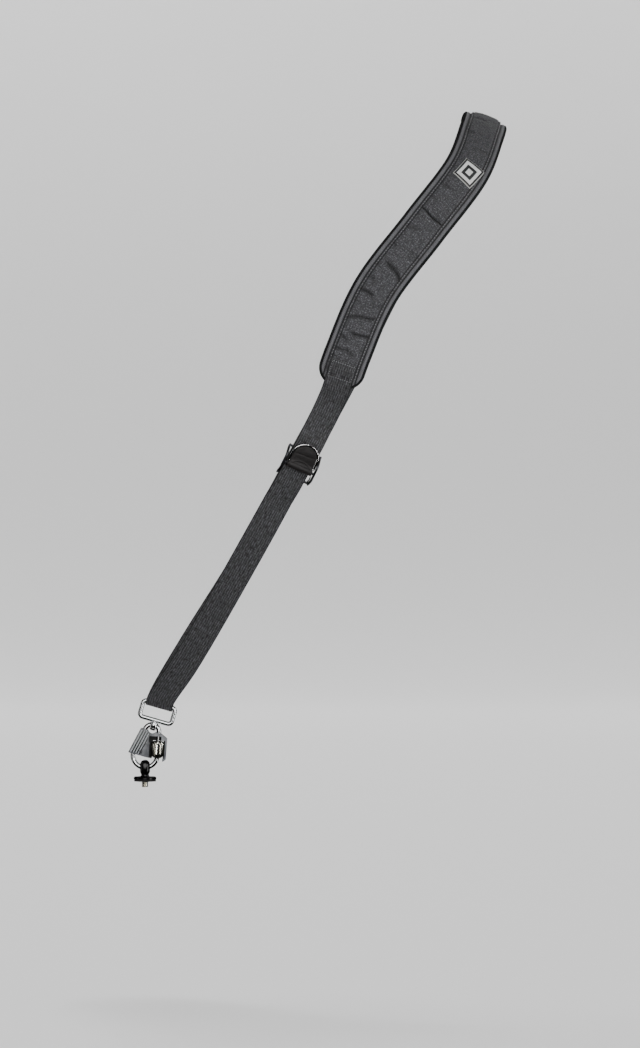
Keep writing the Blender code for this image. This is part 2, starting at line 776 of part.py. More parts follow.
def pear():
    """Centres and tangent angle of the hook's two arcs, in X and Z below the ring's lower bar."""
    crown = Vector((0, -(RING_BAR / 2 + GAP + HOOK_WIRE / 2 + CROWN_RADIUS)))
    loop = Vector((0, -(HOOK_LENGTH - LOOP_RADIUS)))
    lean = math.asin((LOOP_RADIUS - CROWN_RADIUS) / (crown - loop).length)
    return crown, loop, lean


def on_arc(centre, radius, angle):
    return Vector((centre.x + radius * math.cos(angle), centre.y + radius * math.sin(angle)))


def gate_ends():
    """The gate's line on the right of the pear, from its hinge down to the hook's nose."""
    crown, loop, lean = pear()
    return on_arc(crown, CROWN_RADIUS, lean), on_arc(loop, LOOP_RADIUS, lean)


def pear_line():
    """Centre line of the whole pear, from the gate's hinge over the crown, down the spine and round to the nose."""
    crown, loop, lean = pear()
    points = [on_arc(crown, CROWN_RADIUS, a) for a in np.linspace(lean, math.pi - lean, 13)]
    points += [on_arc(loop, LOOP_RADIUS, a) for a in np.linspace(math.pi - lean, 2 * math.pi + lean, 19)]
    return [(p.x, 0.0, p.y) for p in points]


def hook_line():
    """The hook's share of the pear: a little of the gate's line at each end."""
    hinge, nose = gate_ends()
    down_gate = (nose - hinge).normalized()
    first = hinge + down_gate * HOOK_WIRE / 2
    last = nose - down_gate * NOSE_LENGTH
    return [(first.x, 0.0, first.y), *pear_line(), (last.x, 0.0, last.y)]


def gate_seat(hook_pivot):
    hinge, nose = gate_ends()
    line = hinge - nose
    tilt = math.atan2(line.x, line.y)
    return empty("gate_seat", hook_pivot, (hinge.x, 0, hinge.y), tilt), line.length


def head_top():
    """Distance from the ring's lower bar down to the top of the post's head, under the hook's boss."""
    return RING_BAR / 2 + GAP + BOSS_HEIGHT + GAP


def make_ring(pivot, bright):
    """The rectangular ring, with the swivel's post riveted through its lower bar."""
    width = WEB_WIDTH + 2 * RING_SIDE_GAP + RING_BAR
    outline = rounded_rectangle(width, RING_HEIGHT, RING_CORNER)
    path = [(x, 0.0, y - RING_HEIGHT / 2) for x, y in outline]
    ring = as_mesh(tube("ring", path, RING_BAR / 2, bright, closed=True, parent=pivot))
    under = -RING_HEIGHT - head_top()
    head = POST_HEAD_WIDTH / 2
    profile = [
        (0.0, -RING_HEIGHT),
        (POST_WIDTH / 2, -RING_HEIGHT),
        (POST_WIDTH / 2, under),
        (head, under),
        (head, under - POST_HEAD_THICK + POST_HEAD_BEVEL),
        (head - POST_HEAD_BEVEL, under - POST_HEAD_THICK),
        (0.0, under - POST_HEAD_THICK),
    ]
    post = turned("post", profile, bright, pivot, steps=16)
    combine(ring, post, "UNION")


def make_hook(pivot, bright):
    """The hook's wire, with a boss at its crown bored for the post."""
    hook = as_mesh(tube("hook_body", hook_line(), HOOK_WIRE / 2, bright, parent=pivot))
    top = -RING_BAR / 2 - GAP
    boss = cylinder("boss", BOSS_WIDTH / 2, (0, 0, top), (0, 0, top - BOSS_HEIGHT), parent=pivot, sides=20)
    bore = cylinder("post_bore", POST_WIDTH / 2 + GAP, (0, 0, 0), (0, 0, top - 2 * BOSS_HEIGHT), parent=pivot)
    combine(hook, boss, "UNION")
    combine(hook, bore, "DIFFERENCE")


def make_gate(seat, length, bright):
    """The gate closes the hook between hinge and nose, locked by the fluted nut."""
    top = -HOOK_WIRE / 2 - GAP
    bottom = -length + NOSE_LENGTH + GAP
    cylinder("gate", HOOK_WIRE / 2, (0, 0, top), (0, 0, bottom), bright, seat, sides=12)
    around = NUT_FLUTES * 4
    sections = []
    for along, width, flute in NUT_PROFILE:
        z = -NUT_DOWN - along * NUT_LENGTH
        ring = []
        for i in range(around):
            angle = 2 * math.pi * i / around
            radius = width * NUT_WIDTH / 2 - FLUTE_DEPTH * flute * (0.5 - 0.5 * math.cos(NUT_FLUTES * angle))
            ring.append((radius * math.cos(angle), radius * math.sin(angle), z))
        sections.append(ring)
    nut = lofted("lock_nut", sections, new_material("nut_steel", (0.8, 0.79, 0.74), 0.2, 1.0), parent=seat)
    reach = 2 * GAP
    bore = cylinder(
        "nut_bore",
        HOOK_WIRE / 2 + GAP,
        (0, 0, -NUT_DOWN + reach),
        (0, 0, -NUT_DOWN - NUT_LENGTH - reach),
        parent=seat,
        sides=16,
    )
    combine(nut, bore, "DIFFERENCE")


def pear_side(offset, z, side):
    """X of the line beside the spine or gate, this far outside it, at the height z."""
    crown, _, lean = pear()
    return side * (CROWN_RADIUS + offset - math.sin(lean) * (z - crown.y)) / math.cos(lean)


def make_cover(pivot, gate, gate_length):
    """Two half shells clamped over the spine and gate by one screw, open at the nut and under the crown.

    The front shell has a window as wide as the nut. A recess above it shows the gate.
    """
    plastic = new_material("cover_plastic", (0.2, 0.21, 0.22), 0.35)
    left = HOOK_WIRE / 2 + GAP + COVER_WALL
    right = NUT_WIDTH / 2 + GAP + COVER_WALL
    top, bottom = -COVER_TOP, -COVER_BOTTOM
    outline = [
        (pear_side(left, top, -1), top),
        (pear_side(left, bottom, -1), bottom),
        (pear_side(right, bottom, 1) - COVER_CHAMFER, bottom),
        (pear_side(right, bottom + COVER_CHAMFER, 1), bottom + COVER_CHAMFER),
        (pear_side(right, top - COVER_CHAMFER, 1), top - COVER_CHAMFER),
        (pear_side(right, top, 1) - COVER_SHOULDER, top),
    ]
    channel = as_mesh(tube("channel", pear_line(), HOOK_WIRE / 2 + GAP, None, closed=True, parent=pivot))
    wide = NUT_WIDTH / 2 + GAP
    nut_top, nut_under = -NUT_DOWN + GAP, -NUT_DOWN - NUT_LENGTH - GAP
    below = -gate_length - NUT_LENGTH
    nut_room = cylinder("nut_room", wide, (0, 0, nut_top), (0, 0, below), parent=gate, sides=32)
    near = wide + WINDOW_GAP
    window_line = [(wide, nut_top), (-near, nut_top), (-near, below), (0, below), (0, nut_under), (wide, nut_under)]
    window = as_mesh(plate("window", window_line, 2 * COVER_THICK, None, gate))
    rim, foot = nut_top + RECESS_RISE, nut_top - RECESS_RISE / 2
    recess_line = [(RECESS_FAR, rim), (-RECESS_NEAR, rim), (-RECESS_NEAR, foot), (RECESS_FAR, foot)]
    recess = as_mesh(plate("recess", recess_line, 2 * COVER_THICK, None, gate))
    recess.location.y = -COVER_THICK / 2 - COVER_WALL
    window.rotation_euler = recess.rotation_euler = (math.pi / 2, 0, 0)
    head_room = POST_HEAD_WIDTH / 2 + NOTCH_GAP
    head_z = -head_top() - POST_HEAD_THICK / 2
    notch = cylinder("head_notch", head_room, (0, -COVER_THICK, head_z), (0, COVER_THICK, head_z), parent=pivot)
    screw_place = Vector((-SCREW_ASIDE, 0, bottom + SCREW_UP))
    half_reach = Vector((0, COVER_THICK, 0))
    screw_room = cylinder(
        "screw_room", SCREW_WIDTH / 2 + GAP, screw_place - half_reach, screw_place + half_reach, parent=pivot
    )
    thick = (COVER_THICK - GAP) / 2
    for name, side in (("cover_front", -1), ("cover_back", 1)):
        shell = as_mesh(plate(name, outline, thick, plastic, pivot))
        shell.location = (0, side * (thick + GAP) / 2, 0)
        shell.rotation_euler = (math.pi / 2, 0, 0)
        soften = shell.modifiers.new("Soft edges", "BEVEL")
        soften.width = COVER_CORNER
        soften.segments = 2
        cutters = [channel, nut_room, recess, notch, screw_room]
        if side < 0:
            cutters.append(window)
        for cutter in cutters:
            combine(shell, cutter, "DIFFERENCE")
    make_screw(pivot, screw_place)


def make_screw(pivot, place):
    """The cover's screw, its head on the front shell."""
    face = COVER_THICK / 2 + GAP
    head = SCREW_HEAD_WIDTH / 2
    shank = SCREW_WIDTH / 2
    profile = [
        (0.0, face + SCREW_HEAD_HEIGHT),
        (head - SCREW_HEAD_HEIGHT, face + SCREW_HEAD_HEIGHT),
        (head, face),
        (shank, face),
        (shank, -COVER_THICK / 2),
        (0.0, -COVER_THICK / 2),
    ]
    screw = turned("cover_screw", profile, new_material("screw_steel", (0.5, 0.5, 0.5), 0.3, 1.0), pivot, steps=12)
    screw.location = place
    screw.rotation_euler = (math.pi / 2, 0, 0)


def make_fastener(pivot):
    """The camera fastener: an eye on the hook's wire, a neck, a flange and the threaded stud below it."""
    black = new_material("black_anodised", (0.02, 0.02, 0.022), 0.35, 0.8)
    rubber = new_material("washer_rubber", (0.02, 0.02, 0.02), 0.85)
    flange_top = -FLANGE_DOWN
    flange_under = flange_top - FLANGE_THICK
    washer_top = flange_under - GAP
    washer_under = washer_top - WASHER_THICK
    stud_end = washer_under - STUD_LENGTH
    inside_eye = -(EYE_HEIGHT + EYE_BORE) / 4
    flange = FLANGE_WIDTH / 2
    stud = STUD_WIDTH / 2
    profile = [
        (0.0, inside_eye),
        (NECK_WIDTH / 2, inside_eye),
        (WAIST_WIDTH / 2, flange_top + FLANGE_THICK / 2),
        (FOOT_WIDTH / 2, flange_top),
        (flange - FLANGE_CHAMFER, flange_top),
        (flange, flange_top - FLANGE_CHAMFER),
        (flange, flange_under),
        (stud, flange_under),
        (stud, stud_end + STUD_CHAMFER),
        (stud - STUD_CHAMFER, stud_end),
        (0.0, stud_end),
    ]
    body = as_mesh(turned("fastener", profile, black, pivot))
    mesh = bpy.data.meshes.new("eye")
    work = bmesh.new()
    bmesh.ops.create_uvsphere(work, u_segments=20, v_segments=10, radius=1.0)
    for vertex in work.verts:
        vertex.co /= sum(abs(share) ** EYE_FULLNESS for share in vertex.co) ** (1 / EYE_FULLNESS)
    bmesh.ops.scale(work, vec=(EYE_WIDTH / 2, EYE_DEPTH / 2, EYE_HEIGHT / 2), verts=work.verts)
    work.to_mesh(mesh)
    work.free()
    hung = Vector((0, 0, -GAP))
    eye = linked("eye", mesh, black, pivot)
    eye.location = hung
    reach = Vector((EYE_WIDTH, 0, 0))
    bore = cylinder("eye_bore", EYE_BORE / 2, hung - reach, hung + reach, parent=pivot)
    combine(body, eye, "UNION")
    combine(body, bore, "DIFFERENCE")

    ring = [
        (stud + GAP, washer_top),
        (flange - GAP, washer_top),
        (flange - GAP, washer_under),
        (stud + GAP, washer_under),
    ]
    turned("washer", ring, rubber, pivot)


def make_swivel():
    """Ring, hook, cover and fastener, each on the pivot that it turns about."""
    bright = new_material("chrome", (0.8, 0.8, 0.82), 0.12, 1.0)
    ring_pivot = empty("ring_pivot", None, (-REACH, 0, -DROP), RING_TILT)
    hook_pivot = empty("hook_pivot", ring_pivot, (0, 0, -RING_HEIGHT))
    make_ring(ring_pivot, bright)
    make_hook(hook_pivot, bright)
    gate, gate_length = gate_seat(hook_pivot)
    make_gate(gate, gate_length, bright)
    make_cover(hook_pivot, gate, gate_length)
    _, loop, _ = pear()
    lowest = on_arc(loop, LOOP_RADIUS, RING_TILT - math.pi / 2)
    make_fastener(empty("fastener_pivot", hook_pivot, (lowest.x, 0, lowest.y), -RING_TILT))


clear_scene()
PARTS = new_collection("camera_sling_strap")
CUTTERS = new_collection("cutters")
ROUTE = Route()
make_pad_body()
make_pad_panel()
make_pad_binding()
make_label()
make_webbing()
make_slide(slide_seat())
make_swivel()
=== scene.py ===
import json
import math

import bmesh
import bpy
import numpy as np
from mathutils import Matrix, Vector, noise


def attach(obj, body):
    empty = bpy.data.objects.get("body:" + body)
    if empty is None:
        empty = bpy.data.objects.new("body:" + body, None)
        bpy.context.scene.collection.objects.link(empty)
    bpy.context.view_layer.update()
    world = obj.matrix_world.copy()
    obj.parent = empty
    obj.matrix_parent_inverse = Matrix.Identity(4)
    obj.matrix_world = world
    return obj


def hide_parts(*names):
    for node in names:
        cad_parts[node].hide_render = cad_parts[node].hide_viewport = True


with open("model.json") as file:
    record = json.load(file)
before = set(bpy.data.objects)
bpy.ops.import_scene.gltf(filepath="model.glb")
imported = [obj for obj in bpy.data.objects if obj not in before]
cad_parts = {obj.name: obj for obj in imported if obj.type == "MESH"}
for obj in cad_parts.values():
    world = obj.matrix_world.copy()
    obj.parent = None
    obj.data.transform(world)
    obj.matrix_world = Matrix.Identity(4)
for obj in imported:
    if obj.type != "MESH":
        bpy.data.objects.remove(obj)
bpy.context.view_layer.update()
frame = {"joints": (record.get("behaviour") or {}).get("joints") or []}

# The way that the strap lies
# The loop keeps the shape that it has in use: over one shoulder, down the front to the ring, and up the back.
# Cloth pieces are cut flat, X across and Y along the strap from the shoulder's crest, and then laid on this
# line.
GAP = 0.0003
JOINTS = {joint["name"]: joint for joint in frame["joints"]}
RING_AT = Vector(JOINTS["ring_swing"]["pos_m"])
RING_AXIS = Vector(JOINTS["ring_swing"]["axis"])
DROP = -RING_AT.z
REACH = -RING_AT.x
HALF_DEPTH = 0.120
RING_BAR = 0.0040
WEB_LEAD = 0.008
FOLD_TURNS = 12
SLIDE_AT = 0.4243
STRAP_TURN = math.radians(14)
TURN_LEVEL = 0.022
TURN_FADE = 0.090

# Shares of DROP, REACH and HALF_DEPTH; tilt is how far the strap's width slopes, in degrees
FRONT_ROUTE = (
    # drop, reach, depth, tilt
    (0.000, 0.000, 0.00, 20),
    (0.025, 0.014, 0.42, 24),
    (0.094, 0.064, 0.76, 30),
    (0.192, 0.195, 0.95, 36),
    (0.300, 0.340, 1.00, 33),
    (0.404, 0.422, 0.99, 22),
    (0.488, 0.477, 0.94, 24),
    (0.596, 0.581, 0.85, 30),
    (0.758, 0.741, 0.64, 30),
    (0.923, 0.913, 0.32, 26),
)
BACK_ROUTE = (
    # drop, reach, depth, tilt
    (0.030, 0.024, 0.60, 24),
    (0.120, 0.110, 0.89, 28),
    (0.277, 0.291, 0.99, 30),
    (0.422, 0.418, 0.93, 30),
    (0.592, 0.583, 0.77, 30),
    (0.760, 0.748, 0.53, 30),
    (0.900, 0.903, 0.25, 26),
)


def placed(row, side):
    drop, reach, depth, tilt = row
    return (-REACH * reach, side * HALF_DEPTH * depth, -DROP * drop, tilt)


def wrap_angle(knot, up, radius, side):
    """Angle below the horizontal where webbing from the knot touches the circle round the ring's bar."""
    towards = Vector(knot[:3]) - RING_AT
    level = side * towards.y
    high = towards.dot(up)
    return math.acos(radius / math.hypot(level, high)) - math.atan2(high, level)


def route_knots():
    """Knots (x, y, z, tilt) down the front, round the ring's bar and up the back, and the fold's two ends."""
    front = [placed(row, -1) for row in FRONT_ROUTE]
    back = [placed(row, 1) for row in BACK_ROUTE]
    up = Vector((-RING_AXIS.z, 0, RING_AXIS.x))
    tilt = math.degrees(math.atan2(-RING_AXIS.z, RING_AXIS.x))
    radius = RING_BAR / 2 + GAP
    first = wrap_angle(front[-1], up, radius, -1)
    last = math.pi - wrap_angle(back[-1], up, radius, 1)
    knots = list(front)
    lead = up * math.cos(first) + Vector((0, -math.sin(first), 0))
    touch = Vector((0, -math.cos(first), 0)) - up * math.sin(first)
    knots.append((*(RING_AT + touch * radius + lead * WEB_LEAD), tilt))
    for angle in np.linspace(first, last, FOLD_TURNS + 1):
        touch = Vector((0, -math.cos(angle), 0)) - up * math.sin(angle)
        knots.append((*(RING_AT + touch * radius), tilt))
    lead = -up * math.cos(last) + Vector((0, math.sin(last), 0))
    knots.append((*(RING_AT + touch * radius + lead * WEB_LEAD), tilt))
    knots.extend(reversed(back))
    return np.array(knots), (len(front) + 1, len(front) + 1 + FOLD_TURNS)


def smoothed(knots, steps=60):
    """A centripetal spline through the closed ring of knots, and where each knot lies in it."""
    dense = []
    starts = []
    for i in range(len(knots)):
        level = [knots[(i + k) % len(knots)] for k in (-1, 0, 1, 2)]
        spans = [math.sqrt(np.linalg.norm(b[:3] - a[:3])) for a, b in zip(level, level[1:])]
        t = np.concatenate([[0.0], np.cumsum(spans)])
        at = np.linspace(t[1], t[2], steps, endpoint=False)[:, None]
        for reach in (1, 2, 3):
            ends = [(t[j], t[j + reach]) if reach < 3 else (t[1], t[2]) for j in range(4 - reach)]
            level = [
                (level[j] * (end - at) + level[j + 1] * (at - start)) / (end - start)
                for j, (start, end) in enumerate(ends)
            ]
        starts.append(len(dense))
        dense.extend(level[0])
    return np.array(dense), starts


knots, fold = route_knots()
dense, starts = smoothed(knots)
steps = np.linalg.norm(np.diff(dense[:, :3], axis=0, append=dense[:1, :3]), axis=1)
ROUTE = np.vstack([dense, dense[:1]])
ALONG = np.concatenate([[0.0], np.cumsum(steps)])
LOOP_LENGTH = ALONG[-1]
FOLD_START = ALONG[starts[fold[0]]]
FOLD_END = ALONG[starts[fold[1]]]


def eased(share):
    """A share from 0 to 1, starting and ending level."""
    share = np.clip(share, 0, 1)
    return share * share * (3 - 2 * share)


def unit(rows):
    return rows / np.linalg.norm(rows, axis=1, keepdims=True)


def strap_frames(along):
    """Place, direction of travel, direction of the width and outward normal at lengths from the crest."""
    step = 0.0004

    def rows(at):
        return np.stack([np.interp(at % LOOP_LENGTH, ALONG, column) for column in ROUTE.T], axis=1)

    place = rows(along)
    travel = unit(rows(along + step)[:, :3] - rows(along - step)[:, :3])
    tilt = np.radians(place[:, 3])
    across = np.stack([np.cos(tilt), np.zeros_like(tilt), -np.sin(tilt)], axis=1)
    across = unit(across - travel * np.sum(across * travel, axis=1, keepdims=True))
    beyond = (np.abs(along % LOOP_LENGTH - SLIDE_AT) - TURN_LEVEL) / TURN_FADE
    turn = (STRAP_TURN * (1 - eased(beyond)))[:, None]
    across = across * np.cos(turn) - np.cross(travel, across) * np.sin(turn)
    return place[:, :3], travel, across, np.cross(travel, across)


# Shoulder pad: foam in spacer mesh
# A strip of closed-cell foam about 5 mm thick, faced with grey knitted spacer mesh that shows as a border
# on both sides. Sewing the woven panel down presses a groove along each side, and the padding thins towards
# its ends.
PAD_FRONT = 0.344
PAD_BACK = 0.048
PAD_WIDTH = 0.0420
PAD_THICK = 0.0080
PAD_RIM = 0.0034
PAD_CORNER = 0.0150
PAD_FADE = 0.0176
BINDING = 0.0010
BORDER = 0.0068
PANEL_THICK = 0.0014
PAD_SOFTNESS = 0.025  # share of the half width over which the section's corners are rounded
PAD_SECTION = (
    # across: share of the half width; rise: share of the padding above the rim
    (0.00, 1.00),
    (0.30, 0.95),
    (0.58, 0.70),
    (0.70, 0.46),
    (0.76, 0.12),
    (0.83, 0.56),
    (0.93, 0.48),
    (1.00, 0.10),
)


def from_pad_end(along):
    return np.clip(np.minimum(PAD_FRONT - along, along + PAD_BACK), 0, None)


def pad_half_width(along):
    """Half width of the foam, with the pad's corners rounded."""
    short = np.clip(PAD_CORNER - from_pad_end(along), 0, PAD_CORNER)
    inset = PAD_CORNER - np.sqrt(PAD_CORNER**2 - short**2)
    return PAD_WIDTH / 2 - BINDING - GAP - inset


def foam_top(along, aside):
    """Height of the foam's outer face."""
    share = np.clip(np.abs(aside) / pad_half_width(along), 0, 1)
    across, rise = zip(*PAD_SECTION)
    shifts = (-PAD_SOFTNESS, 0, PAD_SOFTNESS)
    swell = sum(np.interp(np.abs(share + shift), across, rise) for shift in shifts) / len(shifts)
    padding = PAD_THICK - PANEL_THICK - GAP - PAD_RIM
    return PAD_RIM + padding * swell * eased(from_pad_end(along) / PAD_FADE)


def thicken(bm, faces, by):
    """Extrudes the faces by a vector."""
    raised = bmesh.ops.extrude_face_region(bm, geom=faces)["geom"]
    bmesh.ops.translate(bm, vec=by, verts=[part for part in raised if isinstance(part, bmesh.types.BMVert)])


def slab(columns, rows):
    """A two-sided sheet, one unit square about the origin, its faces at z = 0 and z = 1."""
    bm = bmesh.new()
    bmesh.ops.create_grid(bm, x_segments=columns, y_segments=rows, size=0.5)
    thicken(bm, bm.faces[:], (0, 0, 1))
    return bm


def shape(bm, form):
    """Moves every vertex of a unit sheet to the place that form gives it."""
    at = np.array([vert.co for vert in bm.verts])
    for vert, place in zip(bm.verts, np.stack(form(*at.T), axis=1)):
        vert.co = place


def lay_on_strap(bm):
    """Keeps the flat pattern as a UV map in millimetres, and bends the pattern along the strap's line."""
    cloth = bm.loops.layers.uv.new("cloth")
    for face in bm.faces:
        for loop in face.loops:
            loop[cloth].uv = loop.vert.co.xy * 1000
    flat = np.array([vert.co for vert in bm.verts])
    place, _, across, normal = strap_frames(flat[:, 1])
    laid = place + across * flat[:, :1] + normal * flat[:, 2:]
    for vert, co in zip(bm.verts, laid):
        vert.co = co


def finished(name, bm, material, sharp=40, seat=None):
    """The bmesh, moved to its seat, as an object with its place in its mesh and its faces outwards."""
    if seat is not None:
        bmesh.ops.transform(bm, matrix=seat, verts=bm.verts)
    bmesh.ops.recalc_face_normals(bm, faces=bm.faces)
    mesh = bpy.data.meshes.new(name)
    bm.to_mesh(mesh)
    bm.free()
    mesh.materials.append(material)
    mesh.shade_smooth()
    mesh.set_sharp_from_angle(angle=math.radians(sharp))
    thing = bpy.data.objects.new(name, mesh)
    bpy.context.scene.collection.objects.link(thing)
    return thing


def srgb(code):
    """An sRGB hex colour as linear RGBA."""
    shares = [int(code[i : i + 2], 16) / 255 for i in (1, 3, 5)]
    return (*[c / 12.92 if c <= 0.04045 else ((c + 0.055) / 1.055) ** 2.4 for c in shares], 1.0)


def add_node(material, kind, inputs=None, take=0, **settings):
    """Adds a shader node with its settings, fills its inputs with values or links, and gives one output."""
    made = material.node_tree.nodes.new("ShaderNode" + kind)
    for name, value in settings.items():
        setattr(made, name, value)
    for name, value in (inputs or {}).items():
        if isinstance(value, bpy.types.NodeSocket):
            material.node_tree.links.new(value, made.inputs[name])
        else:
            made.inputs[name].default_value = value
    return made.outputs[take]


def maths(material, operation, *values):
    return add_node(material, "Math", dict(enumerate(values)), operation=operation)


def speckle(material, place, scale, detail, roughness=0.5, take="Fac"):
    """Soft irregular spots."""
    inputs = {"Vector": place, "Scale": scale, "Detail": detail, "Roughness": roughness}
    return add_node(material, "TexNoise", inputs, take=take)


def ramp(material, value, low, high, least=0.0, most=1.0):
    """A value spread from low and high to least and most, and cut off beyond them."""
    inputs = {"Value": value, "From Min": low, "From Max": high, "To Min": least, "To Max": most}
    return add_node(material, "MapRange", inputs)


def blend(material, share, low, high):
    """From one colour to another with the share; a colour is a hex code or a node's output."""
    colours = [srgb(colour) if isinstance(colour, str) else colour for colour in (low, high)]
    inputs = {"Factor": share, 6: colours[0], 7: colours[1]}
    return add_node(material, "Mix", inputs, take=2, data_type="RGBA")


WAVE_PERIOD = math.tau / 20  # a wave texture's period at scale 1


def waves(material, place, pitch, direction="X", distortion=0.0):
    """Soft parallel ribs this far apart."""
    inputs = {"Vector": place, "Scale": WAVE_PERIOD / pitch, "Distortion": distortion}
    return add_node(material, "TexWave", inputs, take="Fac", bands_direction=direction)


def shader_input(material, name):
    return material.node_tree.nodes["Principled BSDF"].inputs[name.replace("_", " ")]


def new_surface(name, **values):
    """A material, with the values that are the same all over."""
    material = bpy.data.materials.new(name)
    material.use_nodes = True
    for socket, value in values.items():
        shader_input(material, socket).default_value = value
    return material


def feed(material, **sources):
    """Links outputs of nodes to the shader's inputs."""
    for socket, source in sources.items():
        material.node_tree.links.new(source, shader_input(material, socket))


def emboss(material, height, strength, distance):
    """Relief this deep, in metres, from a node's output."""
    inputs = {"Height": height, "Strength": strength, "Distance": distance}
    feed(material, Normal=add_node(material, "Bump", inputs))


# Knitted polyester spacer mesh: open diamond holes about 1.3 mm apart, grey yarn over a dark core
MESH_HOLE = 1.3
mesh_cloth = new_surface("spacer_mesh", Roughness=0.85, Sheen_Weight=0.25, Sheen_Roughness=0.5)
cloth = add_node(mesh_cloth, "UVMap", uv_map="cloth")
leaning = []
for lean in (32, -32):
    slanted = add_node(mesh_cloth, "Mapping", {"Vector": cloth, "Rotation": (0, 0, math.radians(lean))})
    leaning.append(waves(mesh_cloth, slanted, MESH_HOLE, distortion=0.6))
holes = maths(mesh_cloth, "MULTIPLY", leaning[0], leaning[1])
wear = speckle(mesh_cloth, cloth, 0.12, 4.0)
yarn = blend(mesh_cloth, wear, "#5c5c60", "#828286")
holed = blend(mesh_cloth, holes, yarn, "#2a2a2d")
emboss(mesh_cloth, holes, 0.8, -0.0003)


def beside_line(material, cloth, at, near, far):
    """From 0 on the lines this many millimetres either side of the strap's middle to 1 away from them."""
    aside = add_node(material, "SeparateXYZ", {"Vector": cloth})
    side = maths(material, "ABSOLUTE", aside)
    off = maths(material, "SUBTRACT", side, at)
    off = maths(material, "ABSOLUTE", off)
    return ramp(material, off, near, far)


# Painted shade: the mesh is coloured near black along the groove 15 mm either side of the middle, where the
# sewn panel presses it down
off_groove = beside_line(mesh_cloth, cloth, 15.0, 0.2, 1.2)
groove_shaded = blend(mesh_cloth, off_groove, "#0c0c0d", holed)
feed(mesh_cloth, Base_Color=groove_shaded)


def pad_rows(start, end, spacing, corner):
    """Lengths along a pad piece, closer together round its rounded ends."""
    curve = corner * (1 - np.cos(np.radians(np.arange(0, 90, 7.5))))
    middle = np.linspace(start + corner, end - corner, int((end - start) / spacing))
    return np.concatenate([start + curve, middle, (end - curve)[::-1]])


def on_rows(v, rows):
    return np.interp(v + 0.5, np.linspace(0, 1, len(rows)), rows)


foam_rows = pad_rows(-PAD_BACK, PAD_FRONT, 0.0015, PAD_CORNER)
UNDER_PANEL = 0.0022  # the foam gives way under the panel, so that no crease reaches it
UNDER_HALF = 0.0125
UNDER_END = 0.012


def foam_form(u, v, w):
    along = on_rows(v, foam_rows)
    aside = 2 * u * pad_half_width(along)
    covered = eased((UNDER_HALF - np.abs(aside)) / 0.002) * eased((from_pad_end(along) - UNDER_END) / 0.006)
    return aside, along, w * (foam_top(along, aside) - UNDER_PANEL * covered)


bm = slab(60, len(foam_rows) - 1)
shape(bm, foam_form)
lay_on_strap(bm)
pad_foam = finished("pad_foam", bm, mesh_cloth, sharp=60)
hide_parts("pad_body")
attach(pad_foam, "strap")

# Woven panel on the pad
# Ballistic nylon in a coarse plain weave, sewn down along its two sides over the foam. It is a little
# longer than the foam it covers, so it puckers across: short sharp creases and broader soft folds.
PANEL_ROLL = 0.0030
PANEL_EDGE = 0.30
PANEL_HALF = PAD_WIDTH / 2 - BORDER
PANEL_INSET = BORDER - BINDING
PANEL_CORNER = PAD_CORNER / 2
CREASES = (
    # at: along from the crest; slant; width; depth; from, to: share of the panel's half width, left to right
    (0.040, 0.20, 0.0022, 0.35, -1.0, 0.2),
    (0.066, -0.30, 0.0018, 0.40, -1.2, -0.3),
    (0.086, 0.15, 0.0020, 0.30, -0.2, 1.1),
    (0.134, -0.25, 0.0016, 0.45, 0.5, 1.2),
    (0.138, 0.10, 0.0018, 0.55, -1.2, 0.0),
    (0.151, -0.20, 0.0012, 0.40, -1.3, -0.4),
    (0.169, 0.11, 0.0009, 1.10, -1.3, 1.1),
    (0.186, -0.10, 0.0024, 0.40, -1.2, 0.1),
    (0.205, 0.20, 0.0028, 0.30, -0.1, 1.2),
    (0.213, 0.35, 0.0014, 0.50, -1.3, -0.4),
    (0.227, 0.32, 0.0020, 0.90, -0.7, 1.2),
    (0.235, 0.30, 0.0013, 0.55, -1.3, -0.4),
    (0.246, 0.10, 0.0018, 0.45, -1.2, -0.1),
    (0.258, 0.12, 0.0018, 0.85, -1.3, 0.2),
    (0.266, -0.20, 0.0018, 0.40, 0.0, 1.2),
    (0.271, 0.35, 0.0013, 0.50, -1.3, -0.4),
    (0.279, -0.30, 0.0016, 0.80, -1.0, 1.0),
    (0.295, -0.05, 0.0014, 0.80, -0.5, 1.2),
    (0.303, 0.20, 0.0016, 0.55, -1.2, -0.1),
    (0.313, 0.10, 0.0018, 0.50, -1.2, 0.6),
)
CREASE_DEPTH = 0.0023
CREASE_WANDER = 0.0006
CREASE_FADE = 0.4  # share of the panel's half width over which a crease ends
FOLD_AWAY = 2.2  # the soft folds beside a crease, in widths and depths of it
FOLD_RISE = 0.35
CRUMPLE = 0.00045
CRUMPLE_SIZE = 0.009
STITCH = 0.0027
SEAM_GROOVE = 0.0122
SEAM_SINK = 0.0007
HEM_AT = 0.0135
HEM_RISE = 0.0005
HEM_WIDE = 0.0007
SEAM_WIDE = 0.0006
SEWN_EDGE = 0.0018


def crumple(along, aside):
    """Fine irregular wrinkling, stretched across the pad."""
    spots = zip(along / CRUMPLE_SIZE, aside / (2 * CRUMPLE_SIZE))
    return np.array([noise.fractal((y, x, 0.0), 1.0, 2.0, 4) for y, x in spots])


def creasing(along, aside):
    """How far each place lies down a crease: 1 at the bottom, and below 0 on the folds beside it."""
    dent = np.zeros_like(along)
    for at, slant, width, depth, start, end in CREASES:
        share = aside / PANEL_HALF
        within = eased((share - start) / CREASE_FADE) * eased((end - share) / CREASE_FADE)
        wander = CREASE_WANDER * np.sin(aside * 300 + at * 900)
        off = (along - at - slant * aside - wander) / width
        folds = np.exp(-((off - FOLD_AWAY) ** 2)) + np.exp(-((off + FOLD_AWAY) ** 2))
        dent = dent + depth * within * (np.exp(-off * off) - FOLD_RISE * folds)
    return dent


